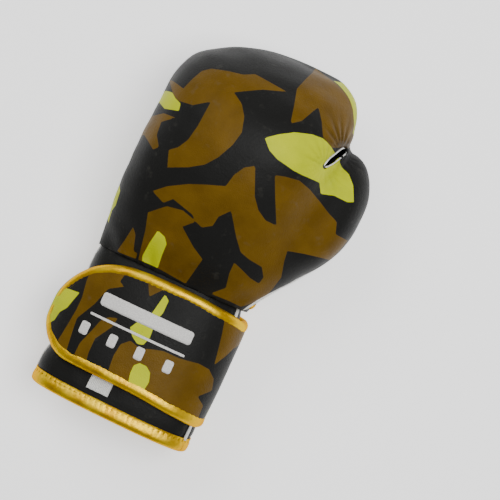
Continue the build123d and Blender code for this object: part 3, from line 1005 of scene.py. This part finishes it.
def make_palm_side():
    """The black leather under the seam: heel of the hand, curled fingers and inner thumb."""
    pieces = [("palm_leather", [(0, -1.0), (1, 1.0), (2, -1.0)], ["palm_panel", "palm_foam"]),
              ("finger_leather", [(0, -1.0), (1, 1.0), (2, 1.0)], ["finger_panel"]),
              ("inner_thumb_leather", [(0, -1.0), (1, -1.0)], ["thumb_panel"])]
    for name, cuts, nodes in pieces:
        finish_panel(panel(name, cuts, PLAIN)[0], nodes)


make_palm_side()


SKIN_TREE = BVHTree.FromPolygons(SKIN[0].tolist(), [tuple(int(i) for i in face) for face in SKIN[1]])


def on_skin(places, from_above):
    """Where upright lines at (x, y) places meet the padded skin, and the skin's normals there."""
    start, way = (200.0, -1.0) if from_above else (-50.0, 1.0)
    hits, normals = [], []
    for x, y in places:
        hit, normal, _, _ = SKIN_TREE.ray_cast(Vector((x, y, start)), Vector((0, 0, way)))
        if hit is None:
            hit, normal, _, _ = SKIN_TREE.find_nearest(Vector((x, y, start / 4)))
        if normal.z * way > 0:
            normal = -normal
        hits.append(hit)
        normals.append(normal)
    return np.array(hits), np.array(normals)


def soften(values, rounds):
    """Evens out a grid of places or directions, along and across."""
    for _ in range(rounds):
        inner = (values[:-2] + 2 * values[1:-1] + values[2:]) / 4
        values = np.concatenate([values[:1], inner, values[-1:]])
    return values


def make_slit_piping():
    """Thin white piping along both lips of the slit between thumb and mitt."""
    along = (SLIT_TOP - CROTCH) / np.linalg.norm(SLIT_TOP - CROTCH)
    across = np.array([along[1], -along[0]])
    share = np.linspace(-0.02, 1.0, LIP_PLACES)
    for name, side in (("thumb_lip_cord", 1.0), ("mitt_lip_cord", -1.0)):
        opening = (SLIT_WIDTH / 2 + 0.5) * np.sqrt(np.clip(share * 3, 0, 1))
        spread = 0.3 + opening * (1 - 0.5 * step(0.9, 1.0, share))
        flat = CROTCH + (SLIT_TOP - CROTCH) * share[:, None] + side * spread[:, None] * across
        outs = (-0.4, 0.0, 0.5, 1.0)
        top = np.max([on_skin(flat + side * out * across, True)[0][:, 2] for out in outs], axis=0)
        beside = np.pad(top, 1, mode="edge")
        top = np.max([beside[k:k + LIP_PLACES] for k in range(3)], axis=0)
        lift = 0.3 if side < 0 else 0.6 + 0.9 * step(0.3, 0.6, share)
        path = np.column_stack([flat, soften(top, 6) + lift])
        radius = LIP_CORD_RADIUS * taper(len(share), 0.8)
        settle(make_piece(name, *tube(path, radius), PIPING), GLOVE)


def nearest_skin(places):
    """The nearest places of the padded skin, and its normals there."""
    found = [SKIN_TREE.find_nearest(Vector(place))[:2] for place in places.reshape(-1, 3)]
    hits = np.array([hit for hit, _ in found]).reshape(places.shape)
    normals = np.array([normal for _, normal in found]).reshape(places.shape)
    return hits, normals


def stitch_dips(length):
    """How deep the thread pulls in at each distance along a row of stitches, from 0 to 1."""
    return bell((length / STITCH) % 1 - 0.5, 0.17)


def laid_strip(name, centre, half_widths, node):
    """A strip of gold tape sewn to the padding along a centre line."""
    steps = 24 * (len(centre) - 1) + 1
    line = np.column_stack([smooth_path(centre), curve_of(half_widths)(np.linspace(0, 1, steps))])
    line = resample(line, 1.2)
    middle, normal = nearest_skin(line[:, :3])
    middle, normal = soften(middle, 6), unit(soften(normal, 12))
    along = unit(np.gradient(middle, axis=0))
    across = unit(np.cross(along, normal))
    columns = np.linspace(-1, 1, 11)
    places = middle[:, None] + across[:, None] * (line[:, 3:] * columns)[..., None]
    hits, normals = nearest_skin(places)
    outward = np.sign(np.sum(normals * (hits - [6, 0, 50]) * [1, 0, 1], -1).mean())
    hits, normals = soften(hits, 3), outward * unit(soften(normals, 8))
    dip = stitch_dips(distance_along(middle))
    rise = np.broadcast_to(0.35 + 0.85 * (1 - columns**4), places.shape[:2]).copy()
    marks = np.zeros(rise.shape)
    for column in (2, 8):
        rise[:, column] -= 0.2 + 0.45 * dip
        marks[:, column] = dip
    grid = hits + normals * rise[..., None]
    faces = lattice(*grid.shape[:2])
    i, j = len(grid) // 2, 5
    if np.cross(grid[i + 1, j] - grid[i, j], grid[i, j + 1] - grid[i, j]) @ normals[i, j] < 0:
        faces = [face[::-1] for face in faces]
    obj = make_piece(name, grid.reshape(-1, 3), faces, TAPE, recalculate=False)
    # the stitch marks hold the painted shade of the dimples, for the gold tape to read
    mark(obj, "stitch", marks)
    thicken(obj, LEATHER)
    settle(obj, GLOVE, [node])


def make_strips():
    """Gold tapes laid on the padding: at the root of the thumb and beside the slit in the palm."""
    below, _ = on_skin([(50, 118), (40, 133), (31, 146), (23, 160)], False)
    thumb_line = [(57.5, 109, 57), (58.5, 110, 46), (56.5, 112, 33), *below]
    widths = [(0, 2.0), (0.15, 2.6), (0.3, 3.4), (0.45, 4.5), (0.65, 6.2), (0.82, 5.0), (1, 4.6)]
    laid_strip("thumb_base_tape", thumb_line, widths, "thumb_base_strip")
    for side, sign in (("thumb", 1), ("little", -1)):
        line, _ = on_skin([(sign * 4.6, 105), (sign * 4.4, 112), (sign * 3.4, 119), (sign * 1.8, 125)], False)
        widths = [(0, 3.0), (0.4, 2.9), (0.75, 2.2), (1, 0.7)]
        laid_strip(f"{side}_slit_tape", line, widths, f"{side}_slit_binding")


make_slit_piping()
make_strips()


# ---------------------------------------------------------------- the cuff
JOINTS = {joint["name"]: joint for joint in frame["joints"]}
SEAMS = {"thumb": CUFF.where_z(SEAM_Z, QUARTER - 5, QUARTER + 40),
         "little": CUFF.where_z(36.0, QUARTER - 20, QUARTER + 5)}
TUCK = CUFF_LENGTH + 0.8  # the cuff runs this far, just under the mitt's edge
TAPE_WIDTH = 6.5
CUFF_LEATHER = 1.2
SLIT_GAP = 1.5
FLAP_CORNER = 11.0
Y_WAY = np.array([0.0, 1.0, 0.0])


def sheet_piece(name, grid, material):
    """A sheet through a grid of places, facing outwards from the middle of the hand."""
    rows, columns = grid.shape[:2]
    faces = lattice(rows, columns)
    i, j = rows // 2, columns // 2
    facing = np.cross(grid[i + 1, j] - grid[i, j], grid[i, j + 1] - grid[i, j])
    if facing @ (grid[i, j] - [0, grid[i, j][1], MIDDLE]) < 0:
        faces = [face[::-1] for face in faces]
    return make_piece(name, grid.reshape(-1, 3), faces, material, recalculate=False)


def cloth_sheet(name, grid, material, body, replaces, bend=None):
    """A sheet of lining cloth, thickened and put in place."""
    obj = sheet_piece(name, grid, material)
    thicken(obj, LINING_CLOTH)
    settle(obj, body, replaces, bend)
    return obj


def wall_depth(reach):
    """Thickness of the cuff's wall: it thins towards the slit."""
    return WALL * (0.55 + 0.45 * step(0, 18, reach))


def flap_start(reach):
    """Where a flap begins along y: its corner beside the slit is round."""
    short = np.clip(FLAP_CORNER - reach, 0, FLAP_CORNER)
    return FLAP_CORNER - np.sqrt(FLAP_CORNER**2 - short**2)


def cuff_face(s, y):
    """How far the cuff's leather stands out from its outline."""
    from_little = np.minimum(np.abs(s + SEAMS["little"]), np.abs(ROUND - s - SEAMS["little"]))
    around = np.minimum(np.abs(s - SEAMS["thumb"]), from_little)
    p = CUFF.at(s, y)
    flat = p.reshape(-1, 3)
    out = (0.45 * waves(flat, 46, 6) + 0.2 * waves(flat, 17, 7)).reshape(p.shape[:-1]) * step(6, 18, y)
    out = out - 0.9 * bell(around, 3.0)
    out = out - 1.5 * step(CUFF_LENGTH - 9, TUCK, y)
    return out - 0.5 * (1 - step(9, 13, y))


def fold_bend(side):
    """The bend from the fixed cuff to one flap, across its fold."""
    joint = JOINTS[f"{side}_flap_fold"]
    hinge = np.array(joint["pos_m"]) / MM - ORIGIN
    along = np.array(joint["axis"]) * np.sign(joint["axis"][1])
    inward = np.array([along[1], -along[0], 0]) * -np.sign(hinge[0])
    middle = hinge + along * CUFF_LENGTH / 2
    return f"{side}_flap", middle - 5 * inward, middle + 5 * inward


def tape_piece(name, path, outward, normal, profile, stitches):
    """Gold tape round an edge.

    profile rows are (outward, normal) places; stitches are (column, inward sign) pairs.
    """
    profile = np.array(np.broadcast_to(profile, (len(path), *np.shape(profile)[-2:])), float)
    length = distance_along(path)
    dip = stitch_dips(length)
    wave = 0.12 * np.sin(length / 5.3) + 0.1 * np.sin(length / 2.1 + 1.0)
    marks = np.zeros(profile.shape[:2])
    for column, sign in stitches:
        profile[:, column, 1] -= sign * (0.25 + 0.55 * dip)
        marks[:, column] = dip
        profile[:, column + 1, 1] += sign * wave
    verts, faces = sweep(path, outward, normal, profile)
    obj = make_piece(name, verts, faces, TAPE)
    # the stitch marks hold the painted shade of the dimples, for the gold tape to read
    mark(obj, "stitch", marks)
    return obj


def edge_profile(depth):
    """Tape round the edge of a wall depth thick, from the outer face over the edge to the inner one."""
    d = np.broadcast_to(np.asarray(depth, float), np.shape(depth) or (1,))
    rows = []
    for one in d:
        rows.append([(-9.6, -0.5), (-9.5, 0.35), (-7.4, 0.5), (-6.2, 0.6), (-3.4, 0.8), (-1.0, 0.4),
                     (0.1, -0.7), (0.6, -2.0), (0.7, -one / 2), (0.6, 2.0 - one), (0.1, 0.7 - one),
                     (-1.0, -0.35 - one), (-2.6, -0.75 - one), (-4.4, -0.7 - one), (-5.3, -0.6 - one),
                     (-6.4, -0.4 - one), (-6.5, 0.5 - one), (-1.6, 1.0 - one), (-0.5, -one / 2),
                     (-1.6, -1.0)])
    return np.array(rows)


OUTER_STITCHES = [(2, 1.0)]
BOTH_STITCHES = [(2, 1.0), (14, -1.0)]


def make_cuff_back():
    """The back of the cuff: leather, lining and the tape round the mouth."""
    s = np.linspace(SEAMS["thumb"], ROUND - SEAMS["little"], 140)[:, None]
    y = np.linspace(0.4, TUCK, 64)[None, :]
    leather = sheet_piece("cuff_back_leather", CUFF.at(s, y, cuff_face(s, y)), PLAIN)
    thicken(leather, CUFF_LEATHER)
    settle(leather, GLOVE, ["cuff_back_panel", "cuff_back_foam"])
    grid = CUFF.at(s, y, 1 - WALL)
    cloth_sheet("cuff_back_lining_cloth", grid, LINING, GLOVE, ["cuff_back_lining"])

    s = np.linspace(SEAMS["thumb"], ROUND - SEAMS["little"], 190)
    _, normal = CUFF.directions(s)
    outward = np.tile(-Y_WAY, (len(s), 1))
    tape = tape_piece("mouth_tape", CUFF.at(s, 0.0), outward, normal, edge_profile(WALL), BOTH_STITCHES)
    settle(tape, GLOVE, ["cuff_mouth_binding"])


def make_cuff_side(side, sign):
    """One side wall of the cuff with its flap: leather, lining and the tape round the edge."""
    bend = fold_bend(side)
    width = SEAMS[side] - SLIT_GAP
    reach = (width * np.linspace(0, 1, 90) ** 1.4)[:, None]
    start = flap_start(reach)
    y = start + 0.4 + (TUCK - start - 0.4) * np.linspace(0, 1, 64)[None, :]
    s = sign * (SLIT_GAP + reach)
    leather = sheet_piece(f"{side}_side_leather", CUFF.at(s, y, cuff_face(s, y)), PLAIN)
    thicken(leather, CUFF_LEATHER)
    nodes = [f"cuff_{side}_side_panel", f"cuff_{side}_side_foam", f"{side}_flap_panel", f"{side}_flap_foam"]
    settle(leather, GLOVE, nodes, bend)
    inner = CUFF.at(s, y, 1 - wall_depth(reach))
    nodes = [f"cuff_{side}_side_lining", f"{side}_flap_lining"]
    cloth_sheet(f"{side}_side_lining_cloth", inner, LINING, GLOVE, nodes, bend)

    turn = np.linspace(0, math.pi / 2, 16)
    corner = SLIT_GAP + FLAP_CORNER
    mouth = [(at, 0.0) for at in np.arange(SEAMS[side], corner, -1.0)]
    bow = [(corner - FLAP_CORNER * math.sin(a), FLAP_CORNER * (1 - math.cos(a))) for a in turn]
    slit = [(SLIT_GAP, at) for at in np.arange(FLAP_CORNER + 1, TUCK, 1.0)]
    flat = resample(np.array(mouth + bow + slit), 1.0)
    heading = unit(np.gradient(flat, axis=0))
    out_s, out_y = heading[:, 1], -heading[:, 0]
    out_s, out_y = -np.abs(out_s), -np.abs(out_y)
    at = sign * flat[:, 0]
    along, normal = CUFF.directions(at)
    outward = along * (sign * out_s)[:, None] + Y_WAY * out_y[:, None]
    depth = wall_depth(flat[:, 0] - SLIT_GAP)
    flap_edge = CUFF.at(at, flat[:, 1])
    tape = tape_piece(f"{side}_flap_tape", flap_edge, outward, normal, edge_profile(depth), BOTH_STITCHES)
    settle(tape, GLOVE, ["cuff_mouth_binding", f"{side}_flap_binding"], bend)

    y = np.linspace(TAPE_WIDTH + 1.5, TUCK, 50)
    cord = CUFF.at(np.full(50, sign * SEAMS[side]), y, 0.1 - 1.2 * step(CUFF_LENGTH - 9, TUCK, y))
    piping = make_piece(f"cuff_{side}_cord", *tube(cord, CORD_RADIUS), PIPING)
    settle(piping, GLOVE, [f"cuff_{side}_piping"])


make_cuff_back()
make_cuff_side("thumb", 1)
make_cuff_side("little", -1)


# ---------------------------------------------------------------- the space for the hand
POCKET_START, POCKET_END = 103.2, 232.4
POCKET_ROUNDNESS = 3.2
# Sections of the hand space: station, middle x, middle z, half width, half height
POCKET = [(POCKET_START, 0, MIDDLE, HALF_WIDTH - WALL - 0.4, HALF_HEIGHT - WALL - 0.4), (112, 4, 44, 45, 20),
          (122, 6, 46, 42, 16), (150, 6, 46, 42, 16), (184, 6, 46, 42.5, 16), (192, 8, 40, 45.5, 22),
          (206, 8, 39.5, 46, 22.5), (222, 8, 39.5, 44, 20), (230, 8, 40, 40, 11),
          (POCKET_END, 8, 40, 36, 1.2)]
THUMB_MOUTH, THUMB_DEPTH = np.array([30.0, 128.0, 45.0]), np.array([76.0, 206.0, 47.0])
THUMB_WAY = unit(THUMB_DEPTH - THUMB_MOUTH)
THUMB_BORE = 12.2
GRIP = span("grip_bar")


def pocket_at(y):
    """Middle x, middle z, half width and half height of the hand space at stations y."""
    return [curve_of([(row[0], row[k]) for row in POCKET])(y) for k in range(1, 5)]


def bag(name, rings, cut, node):
    """A bag of lining cloth through rings, open where cut is negative."""
    verts = rings.reshape(-1, 3)
    faces = lattice(*rings.shape[:2], closed_columns=True)
    verts, faces, _ = clip(verts, faces, cut.reshape(-1, 1), 0, snap=0.02)
    obj = make_piece(name, verts, faces, LINING)
    thicken(obj, 0.8)
    settle(obj, GLOVE, [node])


def make_hand_lining():
    """The bag that lines the hand space, with a hole where the thumb's space opens."""
    y = np.r_[np.linspace(POCKET_START, 200, 60), np.linspace(201.5, POCKET_END, 26)]
    angle = np.linspace(0, 2 * math.pi, 120, endpoint=False)
    mid_x, mid_z, half_width, half_height = pocket_at(y)
    rings = []
    for k in range(len(y)):
        flat = oval(angle, half_width[k], half_height[k], POCKET_ROUNDNESS)
        across, height = flat[:, 0] + mid_x[k], flat[:, 1] + mid_z[k]
        rings.append(np.column_stack([across, np.full(len(angle), y[k]), height]))
    rings = np.array(rings)
    from_bore = rings - THUMB_MOUTH
    reach = np.clip(from_bore @ THUMB_WAY, 0, None)
    cut = np.linalg.norm(from_bore - reach[..., None] * THUMB_WAY, axis=2) - THUMB_BORE
    cut = np.where(rings[..., 0] > 20, cut, 5.0)
    bag("hand_lining_bag", rings, cut, "hand_lining")


def make_thumb_lining():
    """The bag that lines the thumb's space, from the hand space to a round end."""
    length = np.linalg.norm(THUMB_DEPTH - THUMB_MOUTH)
    dome = np.linspace(0, math.radians(84), 14)
    stations = np.r_[np.linspace(10, length, 50), length + THUMB_BORE * np.sin(dome[1:])]
    radii = np.r_[np.full(50, THUMB_BORE), THUMB_BORE * np.cos(dome[1:])]
    side = unit(np.cross(THUMB_WAY, [0.0, 0.0, 1.0]))
    up = np.cross(side, THUMB_WAY)
    angle = np.linspace(0, 2 * math.pi, 60, endpoint=False)
    ring = np.cos(angle)[:, None] * side + np.sin(angle)[:, None] * up
    rings = THUMB_MOUTH + stations[:, None, None] * THUMB_WAY + radii[:, None, None] * ring
    mid_x, mid_z, half_width, half_height = pocket_at(rings[..., 1])
    across, height = (rings[..., 0] - mid_x) / half_width, (rings[..., 2] - mid_z) / half_height
    power = POCKET_ROUNDNESS
    inside = (np.abs(across) ** power + np.abs(height) ** power) ** (1 / power)
    bag("thumb_lining_bag", rings, (inside - 1) * 40, "thumb_lining")


def make_grip_bar():
    """The padded bar across the palm that the fingers close on."""
    low, high = GRIP
    x = np.linspace(low[0], high[0], 60)
    share = (2 * x - low[0] - high[0]) / (high[0] - low[0])
    path = np.column_stack([x, np.full(60, (low[1] + high[1]) / 2), np.full(60, (low[2] + high[2]) / 2)])
    radius = (high[2] - low[2]) / 2 * np.maximum(1 - np.abs(share) ** 9, 0.02) ** 0.5
    obj = make_piece("grip_bar_pad", *tube(path, radius, 28), LINING)
    settle(obj, GLOVE, ["grip_bar"])


make_hand_lining()
make_thumb_lining()
make_grip_bar()


# ---------------------------------------------------------------- the wrist strap
STRAP_CUT = STRAP.where_z(22.0, 20, QUARTER)  # the two spans meet here, low on the thumb side
STRAP_SEWN = STRAP.where_z(30.0, -QUARTER - 2, -QUARTER + 25)
TIP_LOW_RADIUS, TIP_HIGH_RADIUS = 26.0, 44.0
PRINT_X = 57.0  # up to here the print is laid out as seen from above, past it along the strap
TOP = 2 * QUARTER
# How far the strap's edges wander from straight, by distance towards the thumb side
# from the middle of the back
LOW_WANDER = curve_of([(-90, 3.2), (-70, 3.2), (-30, 3.2), (10, 2.3), (40, -0.8), (58, -2.6), (85, -2.2),
                       (140, 0), (300, 0)])
HIGH_WANDER = curve_of([(-90, -3.6), (-70, -3.6), (-40, -3.4), (-25, -2.8), (-8, -1.4), (18, -1.2),
                        (36, -2.6), (50, -4.0), (60, -5.4), (85, -4.2), (140, -2.5), (300, -2.5)])


def strap_x(s, offset=6.0):
    """x of a place within the strap's thickness, at lengths s."""
    return STRAP.at(s, 60.0, offset)[..., 0]


def strap_length_at(x, first=TOP, offset=6.0):
    """The length along the strap, from first on, at which it passes x as seen from above."""
    s = np.arange(first, STRAP.length[-1] - STRAP.start, 0.5)
    return np.interp(-np.asarray(x, float), -strap_x(s, offset), s)


def strap_edges(s):
    """The strap's edges along y at lengths s. The free end is rounded."""
    low = STRAP_LOW_Y + LOW_WANDER(TOP - s)
    high = STRAP_HIGH_Y + HIGH_WANDER(TOP - s)
    x = np.where(s > TOP, strap_x(s), 1e3)
    into_low = np.clip(STRAP_TIP_X + TIP_LOW_RADIUS - x, 0, TIP_LOW_RADIUS)
    into_high = np.clip(STRAP_TIP_X + TIP_HIGH_RADIUS - x, 0, TIP_HIGH_RADIUS)
    low = low + TIP_LOW_RADIUS - np.sqrt(TIP_LOW_RADIUS**2 - into_low**2)
    high = high - TIP_HIGH_RADIUS + np.sqrt(TIP_HIGH_RADIUS**2 - into_high**2)
    return low, high


def strap_lift(s):
    """The strap lies closer where no patches hold it off the cuff."""
    side = 1.7 * step(-10, 30, s) * (1 - step(QUARTER + 12, QUARTER + 40, s))
    palm = 0.6 * (1 - step(-10, 30, s))
    return -side - palm


def sewn_down(s):
    """0 at the sewn end, 1 from a little way along."""
    return 0.3 + 0.7 * step(0, 13, s - STRAP_SEWN)


def strap_face(s, y):
    """Offset of the strap's outer leather from the cuff's outline."""
    low, high = strap_edges(s)
    share = np.clip((y - low) / (high - low), 0, 1)
    p = STRAP.at(s, y)
    ripple = (0.3 * waves(p.reshape(-1, 3), 34, 8)).reshape(p.shape[:-1])
    crown = (0.25 + 0.75 * step(20, QUARTER + 20, s)) * (1 - (2 * share - 1) ** 4)
    ripple = ripple * step(0, 0.15, share) * step(0, 0.15, 1 - share)
    return (STRAP_OUTER + strap_lift(s) + crown + ripple) * sewn_down(s)


def strap_print_places(s, y):
    """Where the strap's print falls: seen from above over the back, and along the strap past the thumb."""
    x = STRAP.at(s, y, STRAP_OUTER)[..., 0]
    round_side = np.linspace(QUARTER, TOP, 400)
    turn = round_side[np.argmin(np.abs(STRAP.at(round_side, 0, STRAP_OUTER)[:, 0] - PRINT_X))]
    return np.stack([np.where(s > turn, x, PRINT_X + turn - s), y], -1)


def strap_grid(s, columns, inset):
    """Lengths and y of a grid over the strap, a little inside its edges."""
    low, high = strap_edges(s)
    share = np.linspace(0, 1, columns)[None, :]
    y = (low + inset)[:, None] + (high - low - 2 * inset)[:, None] * share
    return np.broadcast_to(s[:, None], y.shape), y


def make_span(name, s, slot_nodes, body, bend):
    """Cover and backing of one span of the strap."""
    at, y = strap_grid(s, 60, 0.9)
    grid = STRAP.at(at, y, strap_face(at, y))
    cover = sheet_piece(f"{name}_leather", grid, CAMO)
    paint(cover, strap_print_places(at, y).reshape(-1, 2), STRAP_BROWN, STRAP_NEON)
    thicken(cover, 1.2)
    settle(cover, body, slot_nodes["cover"], bend)
    inner = (STRAP_INNER + strap_lift(at) + 0.8) * sewn_down(at)
    backing = sheet_piece(f"{name}_back", STRAP.at(at, y, inner), PLAIN)
    thicken(backing, 0.8)
    settle(backing, body, slot_nodes["backing"], bend)


def strap_tape_profile(s, y):
    """Gold tape round the strap's edge, at the strap's own height, and wider along the lower edge."""
    shape = np.array([(-7.2, 7.7), (-7.1, 8.5), (-6.0, 8.7), (-5.0, 8.9), (-3.2, 9.15), (-1.5, 8.8),
                      (-0.2, 7.9), (0.6, 6.7), (0.75, 5.6), (0.5, 4.4), (-0.3, 3.2), (-1.8, 2.5),
                      (-4, 2.2), (-5.8, 2.3), (-5.8, 3.0), (-1.8, 3.5), (-0.7, 5.6), (-1.8, 7.5)])
    rows = np.broadcast_to(shape, (len(s), *shape.shape)).copy()
    rows[:, :4, 0] *= 1 + 0.2 * (1 - step(40, 80, y))[:, None]
    rows[..., 1] = (rows[..., 1] + strap_lift(s)[:, None]) * sewn_down(s)[:, None]
    return rows


def strap_tape(name, flat):
    """Tape along a path of (length, y) places, with the strap on its left."""
    heading = unit(np.gradient(flat, axis=0))
    along, normal = STRAP.directions(flat[:, 0])
    outward = along * heading[:, 1:] - Y_WAY * heading[:, :1]
    path = STRAP.at(flat[:, 0], flat[:, 1])
    return tape_piece(name, path, outward, normal, strap_tape_profile(flat[:, 0], flat[:, 1]), OUTER_STITCHES)


def joint_parts(name):
    """The CAD nodes of one span, by layer."""
    return {"cover": [f"{name}_cover", f"{name}_foam"], "backing": [f"{name}_backing"]}


def make_strap():
    """Both spans of the strap, and the tape round their edges."""
    back_bend = ("back_strap", (64, 58, 16), (50, 58, 50))
    palm_bend = ("palm_strap", (-62, 58, 32), (-45, 58, 12))
    plain_end = strap_length_at(STRAP_TIP_X + TIP_HIGH_RADIUS)
    fan = np.linspace(math.pi / 2, 0.12, 40)[1:]
    tip = strap_length_at(STRAP_TIP_X + 0.9 + (TIP_HIGH_RADIUS - 0.9) * (1 - np.cos(fan)))
    s = np.r_[np.linspace(STRAP_CUT, plain_end, 110), tip]
    make_span("back_strap", s, joint_parts("back_strap"), "palm_strap", back_bend)
    sewn = np.linspace(STRAP_SEWN, STRAP_CUT, 100)
    make_span("palm_strap", sewn, joint_parts("palm_strap"), GLOVE, palm_bend)

    angle = np.linspace(0, math.pi / 2, 40)
    round_low = strap_length_at(STRAP_TIP_X + TIP_LOW_RADIUS * (1 - np.sin(angle)))
    round_high = strap_length_at(STRAP_TIP_X + TIP_HIGH_RADIUS * (1 - np.cos(angle)))
    low = STRAP_LOW_Y + LOW_WANDER(TOP - round_low)
    high = STRAP_HIGH_Y + HIGH_WANDER(TOP - round_high)
    s_low = np.arange(STRAP_CUT, strap_length_at(STRAP_TIP_X + TIP_LOW_RADIUS), 1.0)
    s_high = np.arange(STRAP_CUT, plain_end, 1.0)[::-1]
    flat = np.vstack([
        np.stack([s_low, strap_edges(s_low)[0]], 1),
        np.stack([round_low, low + TIP_LOW_RADIUS * (1 - np.cos(angle))], 1),
        np.stack([round_high, high - TIP_HIGH_RADIUS * (1 - np.sin(angle))], 1),
        np.stack([s_high, strap_edges(s_high)[1]], 1)])
    tape = strap_tape("back_strap_tape", resample(flat, 1.0))
    settle(tape, "palm_strap", ["back_strap_binding"], back_bend)

    s = np.arange(STRAP_SEWN, STRAP_CUT + 0.5, 1.0)
    s[-1] = STRAP_CUT
    for name, edge, order in (("low", 0, 1), ("high", 1, -1)):
        flat = np.stack([s, strap_edges(s)[edge]], 1)[::order]
        tape = strap_tape(f"palm_strap_tape_{name}", flat)
        settle(tape, GLOVE, ["palm_strap_binding", "strap_anchor"], palm_bend)


make_strap()


def bar(name, x0, x1, y, width, ends, follow, body):
    """A printed bar with round ends, along the strap."""
    half = (x1 - x0) / 2
    t = np.cos(np.linspace(math.pi, 0, 40))
    x = (x0 + x1) / 2 + half * t
    inset = np.clip(np.abs(t) * half - (half - ends), 0, ends)
    height = width / 2 - ends + np.sqrt(np.maximum(ends**2 - inset**2, 0.01))
    s = follow(x)
    ys = y + height[:, None] * np.linspace(-1, 1, 7)[None, :]
    at = np.broadcast_to(s[:, None], ys.shape)
    obj = sheet_piece(name, STRAP.at(at, ys, strap_face(at, ys) + 0.22), INK)
    thicken(obj, 0.15)
    settle(obj, body)


def over_back(x):
    """Lengths along the strap over the back of the hand, at places seen from above."""
    return strap_length_at(x, QUARTER + 5, STRAP_OUTER)


# name, x from and to, y, width, radius of the ends, how the strap is followed, body
bar("strap_print_line", -38, 31, 60.5, 1.7, 0.8, over_back, "back_strap")
bar("strap_print_bar", -35, 31, 73, 9.5, 2.0, over_back, "back_strap")
for number, middle in enumerate((-37.5, -17.0, 3.0, 24.0), 1):
    bar(f"strap_print_block_{number}", middle - 3, middle + 3, 49.5, 9.0, 1.5, over_back, "back_strap")
bar("palm_print_bar", -27, 27, 68, 10.0, 2.0, lambda x: x, "palm_strap")
bar("palm_print_short_bar", -15, 15, 53, 6.0, 1.5, lambda x: x, "palm_strap")


def patch(name, outline, x0, x1, y0, y1, offset, thickness, material, slot, body, node):
    """A hook or loop patch, seen from above between x0 and x1."""
    first, last = outline.where_x(x1, QUARTER + 5, TOP + 5), outline.where_x(x0, TOP - 5, TOP + 60)
    s = np.linspace(first, last, 60)[:, None]
    y = np.linspace(y0, y1, 40)[None, :]
    obj = sheet_piece(name, outline.at(s, y, offset), material)
    thicken(obj, thickness)
    settle(obj, body, [node])


loop_low, loop_high = span("loop_patch")
hook_low, hook_high = span("hook_patch")
patch("loop_tape_patch", CUFF, loop_low[0] + 2, loop_high[0], loop_low[1], loop_high[1], 1.5, 1.0,
      LOOP, "loop", GLOVE, "loop_patch")
patch("hook_tape_patch", STRAP, hook_low[0], hook_high[0], hook_low[1], hook_high[1], 3.0, 1.2,
      HOOK, "hook", "back_strap", "hook_patch")


def make_label():
    """A blank cloth label, tucked under the strap's edge."""
    s = np.array([CUFF.where_x(x, TOP - 10, TOP + 30) for x in np.linspace(-4, -19, 16)])[:, None]
    y = np.linspace(13.5, 27, 14)[None, :]
    curl = 0.9 + 0.7 * np.exp(-(y - 13.5) / 2.5)
    obj = sheet_piece("blank_label", CUFF.at(s, y, curl), LABEL)
    thicken(obj, 0.4)
    settle(obj, GLOVE, ["size_label"])


make_label()


# ---------------------------------------------------------------- room, light and camera
def make_room():
    """The white surface that the glove lies on."""
    bpy.ops.mesh.primitive_plane_add(size=8.0)
    floor = bpy.context.object
    floor.name = "floor"
    n = Nodes("white_floor")
    white = (0.92, 0.92, 0.92, 1)
    floor.data.materials.append(n.finish(**{"Base Color": white, "Roughness": 0.9, "Specular IOR Level": 0.0,
                                            "Emission Color": white, "Emission Strength": 0.9}))


def area_light(name, place, target, size, power):
    """A flat lamp at a place, turned to a target."""
    light = bpy.data.lights.new(name, "AREA")
    light.shape = "RECTANGLE"
    light.size, light.size_y = size
    light.energy = power
    obj = bpy.data.objects.new(name, light)
    bpy.context.scene.collection.objects.link(obj)
    obj.location = place
    obj.rotation_euler = (Vector(target) - Vector(place)).to_track_quat("-Z", "Y").to_euler()


def make_light():
    """One broad soft light near the camera, a weaker one from the knuckle side and a dim room."""
    area_light("key", (0.45, 0.2, 1.6), (0, 0, 0.05), (0.8, 0.8), 26)
    area_light("fill", (-0.9, 0.7, 1.3), (0, 0, 0.05), (0.9, 0.9), 11)
    world = bpy.data.worlds.new("studio")
    bpy.context.scene.world = world
    world.use_nodes = True
    world.node_tree.nodes["Background"].inputs["Color"].default_value = (1, 1, 1, 1)
    world.node_tree.nodes["Background"].inputs["Strength"].default_value = 0.15


LEAN = math.radians(25)
LENS = 120.0
SENSOR = 36.0
VIEW_WIDTH = 339.0  # mm across the picture, at the height of the glove's middle
VIEW_HEIGHT = 68.0
VIEW_MIDDLE = (41.0, 144.0)


def make_camera():
    """Straight above, turned so that the glove leans to the right."""
    camera = bpy.data.cameras.new("camera")
    camera.lens = LENS
    camera.sensor_width = SENSOR
    camera.clip_start = 0.01
    obj = bpy.data.objects.new("camera", camera)
    bpy.context.scene.collection.objects.link(obj)
    distance = VIEW_WIDTH * LENS / SENSOR
    obj.location = to_frame([*VIEW_MIDDLE, VIEW_HEIGHT + distance])
    obj.rotation_euler = (0, 0, LEAN)
    bpy.context.scene.camera = obj


make_room()
make_light()
make_camera()
